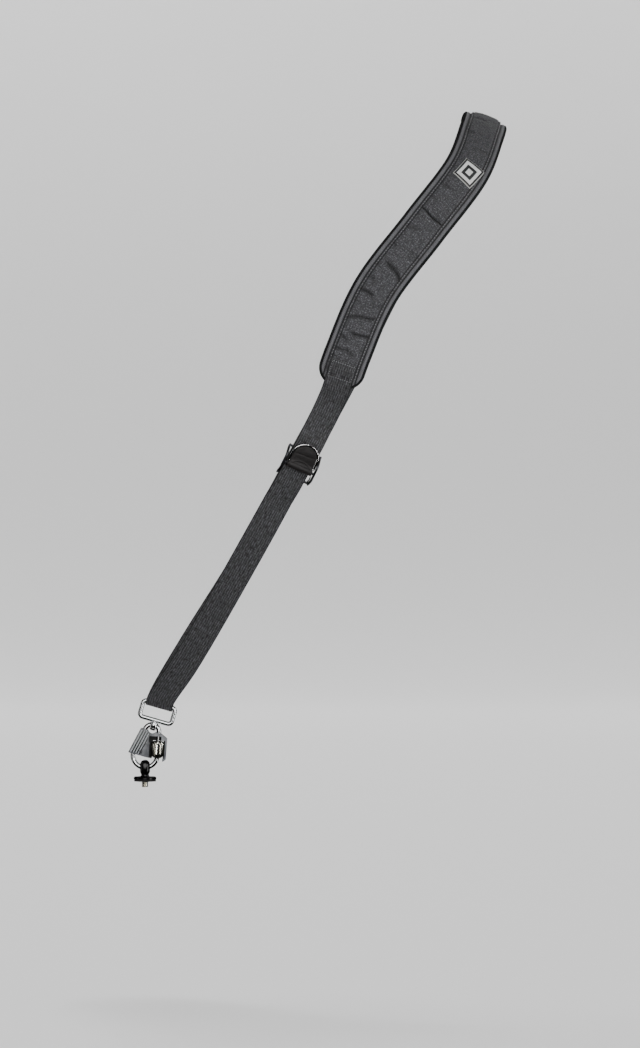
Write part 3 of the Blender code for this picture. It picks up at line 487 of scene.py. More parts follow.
def panel_top(along, aside):
    side = np.abs(aside)
    from_edge = np.clip(PANEL_HALF - side, 0, None)
    roll = np.minimum(1.0, PANEL_EDGE + from_edge / PANEL_ROLL)
    free = eased((from_edge - SEWN_EDGE) / 0.003)
    loose = CRUMPLE * crumple(along, aside) * free
    level = foam_top(along, aside) + GAP + PANEL_THICK * roll
    between = (along + PAD_BACK) % STITCH - STITCH / 2
    hem = np.exp(-(((side - HEM_AT) / HEM_WIDE) ** 2))
    hem = HEM_RISE * hem * (1 - 0.9 * np.exp(-((between / 0.0005) ** 2)))
    groove = SEAM_SINK * np.exp(-(((side - SEAM_GROOVE) / SEAM_WIDE) ** 2))
    return level - CREASE_DEPTH * creasing(along, aside) * (0.2 + 0.8 * free) + loose + hem - groove


panel_rows = pad_rows(-PAD_BACK + PANEL_INSET, PAD_FRONT - PANEL_INSET, 0.0007, PANEL_CORNER)
half_columns = np.concatenate([np.linspace(0, 0.0106, 15), np.linspace(0.0110, PANEL_HALF, 16)]) / PANEL_HALF
panel_columns = np.concatenate([-half_columns[:0:-1], half_columns])


def panel_form(u, v, w):
    along = on_rows(v, panel_rows)
    from_end = np.minimum(panel_rows[-1] - along, along - panel_rows[0])
    short = np.clip(PANEL_CORNER - from_end, 0, PANEL_CORNER)
    width = PANEL_HALF - (PANEL_CORNER - np.sqrt(PANEL_CORNER**2 - short**2))
    aside = on_rows(u, panel_columns) * width
    top = panel_top(along, aside)
    under = np.minimum(foam_top(along, aside) + GAP / 2, top - PANEL_THICK / 2)
    return aside, along, under + w * (top - under)


bm = slab(len(panel_columns) - 1, len(panel_rows) - 1)
shape(bm, panel_form)
flat = np.array([vert.co for vert in bm.verts])
down_crease = bm.verts.layers.float.new("crease")
for vert, depth in zip(bm.verts, creasing(flat[:, 1], flat[:, 0])):
    vert[down_crease] = depth
lay_on_strap(bm)

# Ballistic nylon: a plain weave of matt yarn, drawn at 1.8 mm because the real 0.5 mm would not show, with
# pale lint specks, and painted shade down its creases and along the seam groove
YARN = 1.8
panel_cloth = new_surface("ballistic_nylon", Roughness=0.78, Sheen_Weight=0.2, Sheen_Roughness=0.45)
cloth = add_node(panel_cloth, "UVMap", uv_map="cloth")
wobble = speckle(panel_cloth, cloth, 0.5, 2.0, take="Color")
bent = add_node(panel_cloth, "Mix", {"Factor": 0.25, 4: cloth, 5: wobble}, take=1, data_type="VECTOR")
warp = waves(panel_cloth, bent, YARN)
weft = waves(panel_cloth, bent, YARN, "Y")
over = add_node(panel_cloth, "TexChecker", {"Vector": bent, "Scale": 1 / YARN}, take="Fac")
weave = add_node(panel_cloth, "Mix", {"Factor": over, 2: warp, 3: weft})
fade = speckle(panel_cloth, cloth, 0.22, 7.0, 0.75)
fade = ramp(panel_cloth, fade, 0.33, 0.67)
dye = blend(panel_cloth, fade, "#1a1a1d", "#5e5e63")
shadowed = blend(panel_cloth, weave, "#323235", dye)
lint = speckle(panel_cloth, cloth, 0.75, 3.0, 0.7)
lint = ramp(panel_cloth, lint, 0.53, 0.72)
shadowed = blend(panel_cloth, lint, shadowed, "#8a8a8f")
# Painted shade: near black down the creases, as deep as the crease attribute says, and along the seam groove
# 12.3 mm either side of the middle
crease = add_node(panel_cloth, "Attribute", take="Fac", attribute_name="crease")
open_cloth = ramp(panel_cloth, crease, 0.8, -0.1, 0.2)
off_seam = beside_line(panel_cloth, cloth, 12.3, 0.1, 0.9)
lit = maths(panel_cloth, "MULTIPLY", open_cloth, off_seam)
crease_shaded = blend(panel_cloth, lit, "#09090a", shadowed)
emboss(panel_cloth, weave, 0.7, 0.0004)
feed(panel_cloth, Base_Color=crease_shaded)

pad_cover = finished("pad_cover", bm, panel_cloth, sharp=80)
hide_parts("pad_panel")
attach(pad_cover, "strap")

# Edge binding
# Black grosgrain tape folded over the pad's edge all the way round and sewn through, so its lip shows on
# the face as a narrow dark line.
BINDING_SECTION = (
    # out: from the foam's edge; up: from the base, or from the foam's face where on_top is 1
    (-0.0009, 0.00010, 1),
    (-0.0009, 0.00045, 1),
    (-0.0005, 0.00065, 1),
    (0.0002, 0.00060, 1),
    (0.0010, 0.0033, 0),
    (0.0015, 0.0025, 0),
    (0.0016, 0.0015, 0),
    (0.0014, 0.0006, 0),
    (0.0008, -0.0001, 0),
    (-0.0004, -0.0003, 0),
    (-0.0010, -0.0002, 0),
    (-0.0010, 0.0003, 0),
)


def pad_outline():
    """Flat points (aside, along) round the foam's edge, and the outward direction at each."""
    rows = pad_rows(-PAD_BACK, PAD_FRONT, 0.0020, PAD_CORNER)
    right = np.stack([pad_half_width(rows), rows], axis=1)
    points = np.concatenate([right, right[::-1] * (-1, 1)])
    run = unit(np.roll(points, -1, axis=0) - np.roll(points, 1, axis=0))
    return points, np.stack([run[:, 1], -run[:, 0]], axis=1)


edge, edge_out = pad_outline()


def binding_form(u, v, w):
    station = np.round((v + 0.5) * len(edge)).astype(int) % len(edge)
    row = np.round((u + 0.5) * len(BINDING_SECTION)).astype(int) % len(BINDING_SECTION)
    out, up, on_top = np.array(BINDING_SECTION)[row].T
    aside, along = (edge[station] + edge_out[station] * out[:, None]).T
    inner = edge[station] * (0.97, 1.0)
    up = up + on_top * np.minimum(foam_top(along, aside), foam_top(inner[:, 1], inner[:, 0]) + 0.0002)
    return aside, along, up


bm = bmesh.new()
bmesh.ops.create_grid(bm, x_segments=len(BINDING_SECTION), y_segments=len(edge), size=0.5)
shape(bm, binding_form)
bmesh.ops.remove_doubles(bm, verts=bm.verts, dist=0.000001)
lay_on_strap(bm)

# Grosgrain: fine ribs across the tape every 0.8 mm, matt black
tape = new_surface("grosgrain_tape", Roughness=0.85)
cloth = add_node(tape, "UVMap", uv_map="cloth")
ribs = waves(tape, cloth, 0.8, "Y")
black = blend(tape, ribs, "#060607", "#101011")
emboss(tape, ribs, 0.6, 0.00015)
feed(tape, Base_Color=black)

edge_tape = finished("edge_tape", bm, tape, sharp=70)
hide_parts("pad_binding")
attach(edge_tape, "strap")

# Webbing
# One length of 25 mm nylon webbing, woven with eleven lengthwise ribs and a finer edge. Its ends are sewn
# on the pad, and in between it lies over the slide's bars and folds round the ring's bar.
WEB_WIDTH = 0.0254
WEB_THICK = 0.0018
WEB_SEAM = 0.022
FALL_LENGTH = 0.020
SLIDE_LENGTH = 0.0290
SLIDE_BAR = 0.0024
SLIDE_RISE = 0.0203
RIBS = 11
RIB_DEPTH = 0.00034
EDGE_WEAR = 0.6
EDGE_BEVEL = 0.0004
SELVEDGE = 0.0013
SLIDE_LIFT = SLIDE_BAR + 2 * GAP


def web_lift(along):
    """Height of the webbing's inner face: on the pad's ends, over the slide's bars, or on the body."""
    along = np.where(along > LOOP_LENGTH / 2, along - LOOP_LENGTH, along)
    over_pad = PAD_THICK + GAP
    past_end = np.maximum(along - PAD_FRONT, -PAD_BACK - along)
    past_slide = np.abs(along - SLIDE_AT) - SLIDE_LENGTH / 2 - 2 * SLIDE_BAR
    near_end = PAD_RIM + PANEL_THICK
    seat = np.where(past_end < 0, near_end + (over_pad - near_end) * eased(-past_end / PAD_FADE), near_end)
    on_pad = seat * (1 - eased(past_end / FALL_LENGTH))
    on_slide = SLIDE_LIFT * (1 - eased(past_slide / SLIDE_RISE))
    return np.maximum(on_pad, on_slide)


web_rows = np.concatenate(
    [
        np.arange(PAD_FRONT - WEB_SEAM, FOLD_START - 0.002, 0.0024),
        np.arange(FOLD_START - 0.002, FOLD_END + 0.002, 0.0005),
        np.arange(FOLD_END + 0.002, LOOP_LENGTH - PAD_BACK + WEB_SEAM, 0.0024),
    ]
)
web_half = WEB_WIDTH / 2
web_edge = np.array([web_half - EDGE_BEVEL, web_half])
web_field = np.linspace(SELVEDGE - web_half, web_half - SELVEDGE, RIBS * 6 + 1)
web_columns = np.concatenate([-web_edge[::-1], web_field, web_edge])


def web_form(u, v, w):
    along = on_rows(v, web_rows)
    aside = on_rows(u, web_columns)
    field = web_half - SELVEDGE
    ribs = 1 - np.abs(np.sin(np.pi * RIBS * (aside + field) / (2 * field)))
    rib = np.where(np.abs(aside) < field, ribs, EDGE_WEAR)
    worn = np.where(np.abs(aside) > web_half - EDGE_BEVEL / 4, 1.5 * EDGE_BEVEL, RIB_DEPTH * rib)
    return aside, along, web_lift(along) + np.where(w > 0.5, WEB_THICK - worn, worn)


bm = slab(len(web_columns) - 1, len(web_rows) - 1)
shape(bm, web_form)
lay_on_strap(bm)

# Nylon webbing: chevron picks between the ribs, charcoal, with painted shade in the rib hollows and along
# both edges. The picks are drawn 2.3 mm apart because the real 1.1 mm would not show, and half a pick apart
# from rib to rib.
PICK = 2.3
web_cloth = new_surface("nylon_webbing", Roughness=0.62, Sheen_Weight=0.15, Sheen_Roughness=0.4)
cloth = add_node(web_cloth, "UVMap", uv_map="cloth")
aside, along = (add_node(web_cloth, "SeparateXYZ", {"Vector": cloth}, take=axis) for axis in "XY")
rib_pitch = (WEB_WIDTH - 2 * SELVEDGE) * 1000 / RIBS
zigzag = maths(web_cloth, "PINGPONG", aside, rib_pitch / 2)
slope = maths(web_cloth, "MULTIPLY_ADD", zigzag, PICK / rib_pitch, along)
turns = maths(web_cloth, "MULTIPLY", slope, math.tau / PICK)
picks = maths(web_cloth, "SINE", turns)
drawn_out = add_node(web_cloth, "Mapping", {"Vector": cloth, "Scale": (1.3, 0.28, 1.0)})
fuzz = speckle(web_cloth, drawn_out, 0.9, 5.0)
fuzz = ramp(web_cloth, fuzz, 0.34, 0.66)
height = maths(web_cloth, "MULTIPLY_ADD", picks, 0.13, fuzz)
# Painted shade: near black in the hollows between the ribs, and along each edge of the webbing
hollow = ramp(web_cloth, zigzag, 0.0, 0.55)
thread = blend(web_cloth, height, "#0b0b0c", "#5c5c60")
hollow_shaded = blend(web_cloth, hollow, "#101011", thread)
inside_edge = beside_line(web_cloth, cloth, WEB_WIDTH * 500, 0.6, 1.5)
woven = blend(web_cloth, inside_edge, "#121213", hollow_shaded)
emboss(web_cloth, height, 0.55, 0.0003)
feed(web_cloth, Base_Color=woven)

webbing = finished("webbing", bm, web_cloth, sharp=60)
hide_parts("webbing_front", "webbing_fold", "webbing_rear")
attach(webbing, "strap")

# Woven label
# A black damask label with a pale woven border line, sewn on the panel a little off its middle. Its motif
# is a plain frame with a square inside, woven in white and standing slightly proud.
LABEL_AT = 0.1155
LABEL_ASIDE = 0.0030
LABEL_SIDE = 0.0212
LABEL_TURN = math.radians(9.5)
LABEL_THICK = 0.0011
LABEL_SAG = 0.85
MOTIF_OUT = 0.0082
MOTIF_IN = 0.0054
MOTIF_DOT = 0.0026
MOTIF_CELL = 0.0004
MOTIF_RISE = 0.00025


def label_height(aside):
    """The label's base spans the pad's swell, clear of its puckers."""
    return PAD_THICK + GAP - LABEL_SAG * (foam_top(LABEL_AT, 0.0) - foam_top(LABEL_AT, aside))


def on_label(x, y):
    """A place on the label, from its middle, as lengths aside and along the strap."""
    aside = LABEL_ASIDE + x * math.cos(LABEL_TURN) - y * math.sin(LABEL_TURN)
    return aside, LABEL_AT + y * math.cos(LABEL_TURN) + x * math.sin(LABEL_TURN)


def label_form(u, v, w):
    aside, along = on_label(u * LABEL_SIDE, v * LABEL_SIDE)
    edge_share = np.maximum(np.abs(u), np.abs(v)) * 2
    turned_down = np.where(edge_share > 0.98, 0.35, 1.0)
    return aside, along, label_height(aside) + w * LABEL_THICK * turned_down


bm = slab(40, 40)
shape(bm, label_form)
lay_on_strap(bm)

# Damask: satin-black polyester with 0.5 mm picks, and a pale line woven 0.4 mm inside the edge
damask = new_surface("label_damask", Roughness=0.5, Sheen_Weight=0.2)
cloth = add_node(damask, "UVMap", uv_map="cloth")
centred = add_node(
    damask,
    "Mapping",
    {"Vector": cloth, "Location": (LABEL_ASIDE * 1000, LABEL_AT * 1000, 0), "Rotation": (0, 0, LABEL_TURN)},
    vector_type="TEXTURE",
)
apart = [add_node(damask, "SeparateXYZ", {"Vector": centred}, take=axis) for axis in "XY"]
sides = [maths(damask, "ABSOLUTE", offset) for offset in apart]
from_middle = maths(damask, "MAXIMUM", sides[0], sides[1])
line = maths(damask, "COMPARE", from_middle, 10.2, 0.35)
picks = waves(damask, cloth, 0.5, "Y")
ground = blend(damask, picks, "#0c0c0d", "#1d1d1f")
bordered = blend(damask, line, ground, "#b9b9b6")
emboss(damask, picks, 0.5, 0.0001)
feed(damask, Base_Color=bordered)

label = finished("label_patch_woven", bm, damask, sharp=50)
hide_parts("label_patch")
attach(label, "strap")

cells = round(2 * MOTIF_OUT / MOTIF_CELL)
bm = bmesh.new()
bmesh.ops.create_grid(bm, x_segments=cells, y_segments=cells, size=MOTIF_OUT)
reach = {face: max(abs(face.calc_center_median().x), abs(face.calc_center_median().y)) for face in bm.faces}
bare = [face for face, far in reach.items() if MOTIF_DOT < far < MOTIF_IN]
bmesh.ops.delete(bm, geom=bare, context="FACES")
thicken(bm, bm.faces[:], (0, 0, MOTIF_RISE))
for vert in bm.verts:
    aside, along = on_label(vert.co.x, vert.co.y)
    vert.co = (aside, along, float(label_height(aside)) + LABEL_THICK + vert.co.z)
lay_on_strap(bm)

# White damask: satin floats 0.5 mm wide that catch the light along their length
satin = new_surface("label_white", Roughness=0.45, Sheen_Weight=0.3)
cloth = add_node(satin, "UVMap", uv_map="cloth")
floats = waves(satin, cloth, 0.5, distortion=0.4)
white = blend(satin, floats, "#e6e6e3", "#ffffff")
emboss(satin, floats, 0.5, 0.0001)
feed(satin, Base_Color=white)
motif = finished("label_motif", bm, satin, sharp=50)
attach(motif, "strap")

# Sewing
# Grey bonded nylon thread, 0.5 mm thick, in lock stitches 2.7 mm long down both sides of the panel, and
# finer and shorter in a box on each sewn end of the webbing.
THREAD = 0.0005


def sew(bm, path, height, length=STITCH, thickness=THREAD):
    """A row of stitches along a flat path, each a short lens of thread that dips in at both ends."""
    path = np.array(path)
    along = np.concatenate([[0.0], np.cumsum(np.linalg.norm(np.diff(path, axis=0), axis=1))])
    count = max(1, round(along[-1] / length))
    for place in (np.arange(count) + 0.5) * along[-1] / count:
        x, y = [np.interp(place, along, column) for column in path.T]
        ahead = [np.interp(place + length / 4, along, column) for column in path.T]
        turn = Matrix.Rotation(math.atan2(ahead[1] - y, ahead[0] - x), 4, "Z")
        lens = Matrix.Diagonal((length * 0.44, thickness / 2, thickness / 2, 1))
        middle = Matrix.Translation((x, y, float(height(np.array([y]), np.array([x]))[0])))
        bmesh.ops.create_uvsphere(bm, u_segments=6, v_segments=5, radius=1, matrix=middle @ turn @ lens)


def on_webbing(along, aside):
    return web_lift(along) + WEB_THICK - RIB_DEPTH / 2


BOX_SIDE = web_half - 0.0022
bm = bmesh.new()
for side in (-1, 1):
    lower_end = PAD_FRONT - WEB_SEAM if side < 0 else PAD_FRONT - 0.009
    sew(bm, [(side * HEM_AT, -PAD_BACK + 0.009), (side * HEM_AT, lower_end)], panel_top)
for near, far in ((PAD_FRONT - WEB_SEAM, PAD_FRONT - 0.0065), (WEB_SEAM - PAD_BACK, 0.0065 - PAD_BACK)):
    inward = math.copysign(0.0016, far - near)
    box = [(-BOX_SIDE, near + inward), (BOX_SIDE, near + inward), (BOX_SIDE, far), (-BOX_SIDE, far)]
    sew(bm, box + box[:1], on_webbing, length=0.0022, thickness=0.0004)
lay_on_strap(bm)

# Bonded thread: two plies twisted, pale grey
thread_stuff = new_surface("bonded_thread", Roughness=0.55, Sheen_Weight=0.2)
cloth = add_node(thread_stuff, "UVMap", uv_map="cloth")
twist = waves(thread_stuff, cloth, 0.6, "DIAGONAL")
grey = blend(thread_stuff, twist, "#7c7c7f", "#b8b8ba")
feed(thread_stuff, Base_Color=grey)
sewing = finished("sewing", bm, thread_stuff, sharp=80)
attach(sewing, "strap")

# Slide
# A stamped steel slide in a gunmetal finish: two rounded rails beside the webbing, the right one with a lip
# along its lower end, two bars under the webbing, and a raised bar over its middle that carries the tab.
SLIDE_RAIL = 0.0022
SLIDE_ASIDE = 0.0009
SLIDE_TURN = math.radians(2.5)
SLIDE_SIDE_GAP = 0.0017
RAIL_LIP = 0.0002
RAIL_HIGH = 0.0030
LIP_IN = 0.0021
LIP_WIDE = 0.0011
LIP_HIGH = 0.0026
LIP_ENDS = (-0.0140, -0.0040)
MIDDLE_BAR_DOWN = 0.0018
TAB_THICK = 0.0012
place, travel, across, normal = (Vector(row[0]) for row in strap_frames(np.array([SLIDE_AT])))
slide_axes = Matrix((across, -travel, normal)).transposed() @ Matrix.Rotation(SLIDE_TURN, 3, "Z")
SLIDE_SEAT = Matrix.Translation(place + across * SLIDE_ASIDE + normal * SLIDE_LIFT) @ slide_axes.to_4x4()
BAR_LOW = -GAP - SLIDE_BAR / 2
BAR_HIGH = WEB_THICK + 2 * GAP + SLIDE_BAR / 2 + TAB_THICK
RAIL_X = web_half + SLIDE_SIDE_GAP + SLIDE_RAIL / 2
END_Y = SLIDE_LENGTH / 2 - SLIDE_BAR / 2 - RAIL_LIP


def oval(width, height, sides=16):
    """A bar's section: (out, up) points round an oval."""
    return [
        (width / 2 * math.cos(a), height / 2 * math.sin(a))
        for a in np.linspace(0, math.tau, sides, endpoint=False)
    ]


def sweep(bm, path, section, face, closed=False, scales=None):
    """A bar drawn along a path in the plane of face: its section is extruded from point to point."""
    path = [Vector(point) for point in path]
    face = Vector(face)
    index = bm.verts.layers.int.get("index") or bm.verts.layers.int.new("index")
    ring = bmesh.ops.create_circle(bm, segments=len(section), radius=1)["verts"]
    for i, vert in enumerate(ring):
        vert[index] = i
    edges = list({edge for vert in ring for edge in vert.link_edges})
    first = edges
    for i, point in enumerate(path):
        if i:
            made = bmesh.ops.extrude_edge_only(bm, edges=edges)["geom"]
            ring = [part for part in made if isinstance(part, bmesh.types.BMVert)]
            fresh = set(ring)
            edges = [part for part in made if isinstance(part, bmesh.types.BMEdge)]
            edges = [edge for edge in edges if fresh.issuperset(edge.verts)]
        ahead = path[(i + 1) % len(path)] if closed or i + 1 < len(path) else point
        behind = path[i - 1] if closed or i else point
        out = face.cross(ahead - behind).normalized()
        scale = scales[i] if scales else 1.0
        for vert in ring:
            x, y = section[vert[index]]
            vert.co = point + (out * x + face * y) * scale
    if closed:
        bmesh.ops.bridge_loops(bm, edges=first + edges)
    else:
        for loop in (first, edges):
            bmesh.ops.contextual_create(bm, geom=loop)


bm = bmesh.new()
rail_y = np.linspace(-SLIDE_LENGTH / 2, SLIDE_LENGTH / 2, 25)
crest = eased((SLIDE_LENGTH / 2 - np.abs(rail_y + MIDDLE_BAR_DOWN)) / 0.009)
rail_z = BAR_LOW + (BAR_HIGH - BAR_LOW) * crest
taper = [0.55 + 0.45 * float(eased((SLIDE_LENGTH / 2 - abs(y)) / 0.0022)) for y in rail_y]
for side in (-1, 1):
    rail = [(side * RAIL_X, y, z) for y, z in zip(rail_y, rail_z)]
    sweep(bm, rail, oval(RAIL_HIGH, SLIDE_RAIL), (1, 0, 0), scales=taper)
lip = [(RAIL_X - LIP_IN, y, z) for y, z in zip(rail_y, rail_z) if LIP_ENDS[0] < y < LIP_ENDS[1]]
sweep(bm, lip, oval(LIP_HIGH, LIP_WIDE), (1, 0, 0), scales=[0.5] + [1] * (len(lip) - 2) + [0.5])
for y, z in ((END_Y, BAR_LOW), (-END_Y, BAR_LOW), (-MIDDLE_BAR_DOWN, BAR_HIGH)):
    sweep(bm, [(x, y, z) for x in np.linspace(-RAIL_X, RAIL_X, 3)], oval(SLIDE_BAR, SLIDE_BAR), (0, 0, 1))


def uneven(material, scale, detail, colours=None, gloss=None):
    """Soft patches over a finish, as handling leaves them, from one colour or roughness to another."""
    spot = add_node(material, "TexCoord", take="Object")
    patches = speckle(material, spot, scale, detail)
    if colours:
        feed(material, Base_Color=blend(material, patches, *colours))
    if gloss:
        least, most = gloss
        feed(material, Roughness=ramp(material, patches, 0, 1, least, most))


# Gunmetal: black-nickel plating on stamped steel, worn a little brighter in patches
gunmetal = new_surface("black_nickel", Metallic=1.0, Roughness=0.28)
uneven(gunmetal, 220.0, 4.0, colours=("#3a3a3d", "#6c6c70"), gloss=(0.2, 0.42))
slide = finished("slide", bm, gunmetal, sharp=60, seat=SLIDE_SEAT)
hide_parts("slide_frame")
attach(slide, "strap")

# D-ring
# Bright nickel-plated steel wire, 2 mm thick, bent to a D and held on the slide by the leather tab.
DEE_WIRE = 0.0020
DEE_HEIGHT = 0.0198
DEE_ASIDE = 0.0005
DEE_CORNER = 0.0018
dee_y = -MIDDLE_BAR_DOWN + SLIDE_BAR / 2 + DEE_WIRE / 2 + 2 * GAP
dee_half = RAIL_X - SLIDE_RAIL / 2 - GAP - DEE_WIRE / 2 - DEE_ASIDE
dee_straight = dee_y + DEE_HEIGHT - dee_half


def arc(x, y, radius, start, end, count):
    return [(x + radius * math.cos(a), y + radius * math.sin(a)) for a in np.linspace(start, end, count)]


wire = arc(0, dee_straight, dee_half, 0, math.pi, 40)
wire += arc(DEE_CORNER - dee_half, dee_y + DEE_CORNER, DEE_CORNER, math.pi, 1.5 * math.pi, 6)
wire += arc(dee_half - DEE_CORNER, dee_y + DEE_CORNER, DEE_CORNER, 1.5 * math.pi, 2 * math.pi, 6)
bm = bmesh.new()
sweep(bm, [(DEE_ASIDE + x, y, BAR_HIGH) for x, y in wire], oval(DEE_WIRE, DEE_WIRE), (0, 0, 1), closed=True)

# Nickel plate: bright, with faint handling marks in its gloss
nickel = new_surface("nickel_plate", Metallic=1.0, Roughness=0.12, Base_Color=srgb("#dcdcdc"))
uneven(nickel, 300.0, 5.0, gloss=(0.06, 0.2))
dee = finished("dee_wire", bm, nickel, seat=SLIDE_SEAT)
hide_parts("d_ring")
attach(dee, "strap")

# Pull tab
# Dark brown-black leather folded double round the slide's middle bar, with a domed face that fills the
# D-ring. It is creased across its face and pressed into an arc over the bar.
TAB_HALF = dee_half - DEE_WIRE / 2 - GAP
TAB_TOP = dee_straight + TAB_HALF
TAB_HEM = -MIDDLE_BAR_DOWN - SLIDE_BAR / 2 - TAB_THICK - GAP
TAB_BELLY = 0.0007
TAB_RIM = 0.0006
TAB_RIM_WIDE = 0.0009
BAR_SWELL = 0.0014
BAR_SWELL_WIDE = 0.0026
WIRE_SWELL = 0.45  # share of the swell over the bar
WIRE_SWELL_WIDE = 0.0016
ARC_DOWN = 0.0075
ARC_RADIUS = 0.0112
ARC_STRETCH = 1.15
ARC_RISE = 0.00025
ARC_WIDE = 0.0006
TAB_CREASE = dee_y + 0.0098
CREASE_LEAN = 0.06
CREASE_SINK = 0.00035
CREASE_WIDE = 0.0005
CRINKLE = 0.00012
CRINKLE_SIZE = 0.003
tab_dome = dee_straight + TAB_HALF * np.sin(np.linspace(0, math.pi / 2, 28))
tab_rows = np.concatenate([np.linspace(TAB_HEM, dee_straight, 40)[:-1], tab_dome])


def tab_form(u, v, w):
    y = on_rows(v, tab_rows)
    above = np.clip(y - dee_straight, 0, TAB_HALF)
    half = np.sqrt(TAB_HALF**2 - above**2)
    hem = eased((dee_y + 0.0008 - y) / 0.0018)
    half = half + hem * (GAP + DEE_WIRE / 2 - 0.0002)
    x = 2 * u * half
    bar = np.exp(-(((y + MIDDLE_BAR_DOWN) / BAR_SWELL_WIDE) ** 2))
    wire_bump = WIRE_SWELL * np.exp(-(((y - dee_y) / WIRE_SWELL_WIDE) ** 2))
    belly = TAB_BELLY * np.cos(np.pi * np.clip(x / TAB_HALF, -1, 1) / 2) * eased((TAB_TOP - y) / 0.006)
    off_arc = np.hypot(x / ARC_STRETCH, y - dee_y + ARC_DOWN) - ARC_RADIUS
    arc_ridge = ARC_RISE * np.exp(-((off_arc / ARC_WIDE) ** 2))
    crease = CREASE_SINK * np.exp(-(((y - TAB_CREASE - CREASE_LEAN * x) / CREASE_WIDE) ** 2))
    crease = crease * eased((TAB_HALF - np.abs(x)) / 0.003)
    spots = zip(x / CRINKLE_SIZE, y / CRINKLE_SIZE)
    crinkle = CRINKLE * np.array([noise.fractal((a, b, 3.0), 1.0, 2.0, 3) for a, b in spots])
    edge_in = np.minimum(half - np.abs(x), np.minimum(TAB_TOP - y, y - TAB_HEM + 0.0004))
    rim = TAB_RIM * (1 - eased(edge_in / TAB_RIM_WIDE))
    swell = BAR_SWELL * np.maximum(bar, wire_bump)
    outer = TAB_THICK + swell + belly + arc_ridge - crease + crinkle - rim
    inner = -TAB_THICK - 0.0009 * bar + rim
    return DEE_ASIDE + x, y, BAR_HIGH + np.where(w > 0.5, outer, inner)


bm = slab(44, len(tab_rows) - 1)
shape(bm, tab_form)
bmesh.ops.remove_doubles(bm, verts=bm.verts, dist=0.00001)

# Leather: drum-dyed cowhide with a fine pebble grain about 0.7 mm across, satin, browner where it is rubbed
leather = new_surface("dyed_leather", Roughness=0.5)
uneven(leather, 260.0, 5.0, colours=("#0d0a0b", "#282221"), gloss=(0.42, 0.68))
spot = add_node(leather, "TexCoord", take="Object")
grain = add_node(leather, "TexVoronoi", {"Vector": spot, "Scale": 1400.0})
emboss(leather, grain, 0.4, 0.0002)
tab = finished("leather_tab", bm, leather, sharp=70, seat=SLIDE_SEAT)
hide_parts("pull_tab")
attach(tab, "strap")

# Ring
# A rectangular ring of polished chrome steel rod, bent with round corners and welded shut under the
# webbing. The swivel's post is riveted through its lower bar.
RING_HEIGHT = 0.0155
RING_CORNER = 0.0034
RING_SIDE_GAP = 0.0006
POST_WIDTH = 0.0036
POST_HEAD_WIDTH = 0.0054
POST_HEAD_THICK = 0.0018
POST_HEAD_BEVEL = 0.0009
BOSS_HEIGHT = 0.0052
SWIVEL_AXIS = Vector(JOINTS["hook_swivel"]["axis"])
FACING = SWIVEL_AXIS.cross(RING_AXIS)
SWIVEL_AXES = Matrix((RING_AXIS, FACING, SWIVEL_AXIS)).transposed().to_4x4()
RING_SEAT = Matrix.Translation(RING_AT) @ SWIVEL_AXES
HOOK_SEAT = Matrix.Translation(Vector(JOINTS["hook_swivel"]["pos_m"])) @ SWIVEL_AXES


def turned(bm, profile, steps=48):
    """A lathe-turned piece: its half profile of (radius, z) from the axis back to the axis, spun about Z."""
    verts = [bm.verts.new((radius, 0, z)) for radius, z in profile]
    edges = [bm.edges.new(pair) for pair in zip(verts, verts[1:])]
    bmesh.ops.spin(bm, geom=verts + edges, axis=(0, 0, 1), angle=math.tau, steps=steps, use_merge=True)
    bmesh.ops.remove_doubles(bm, verts=bm.verts, dist=0.000001)


def soften(bm, width, angle=35):
    """Rounds every edge sharper than the angle."""
    sharp = [e for e in bm.edges if e.is_manifold and e.calc_face_angle() > math.radians(angle)]
    bmesh.ops.bevel(
        bm, geom=sharp, offset=width, offset_type="OFFSET", affect="EDGES", segments=4, profile=0.5,
        material=-1, clamp_overlap=True,
    )


half_wide = (WEB_WIDTH + 2 * RING_SIDE_GAP + RING_BAR) / 2 - RING_CORNER
half_tall = RING_HEIGHT / 2 - RING_CORNER
outline = []
for quarter, (x, y) in enumerate(((1, 1), (-1, 1), (-1, -1), (1, -1))):
    turn_from = quarter * math.pi / 2
    middle = (x * half_wide, y * half_tall - RING_HEIGHT / 2)
    outline += arc(*middle, RING_CORNER, turn_from, turn_from + math.pi / 2, 12)
bm = bmesh.new()
sweep(bm, [(x, 0, z) for x, z in outline], oval(RING_BAR, RING_BAR, 32), (0, 1, 0), closed=True)
head_top = -RING_HEIGHT - RING_BAR / 2 - 2 * GAP - BOSS_HEIGHT
head = POST_HEAD_WIDTH / 2
turned(
    bm,
    [
        (0, -RING_HEIGHT),
        (POST_WIDTH / 2, -RING_HEIGHT),
        (POST_WIDTH / 2, head_top),
        (head, head_top),
        (head, head_top - POST_HEAD_THICK + POST_HEAD_BEVEL),
        (head * 0.86, head_top - POST_HEAD_THICK + POST_HEAD_BEVEL / 3),
        (head * 0.5, head_top - POST_HEAD_THICK),
        (0, head_top - POST_HEAD_THICK),
    ],
    steps=32,
)

# Chrome: polished plate with a trace of smearing
chrome = new_surface("polished_chrome", Metallic=1.0, Roughness=0.08, Base_Color=srgb("#e6e7e8"))
uneven(chrome, 180.0, 6.0, gloss=(0.03, 0.16))
steel_ring = finished("strap_ring", bm, chrome, seat=RING_SEAT)
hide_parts("ring")
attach(steel_ring, "ring")

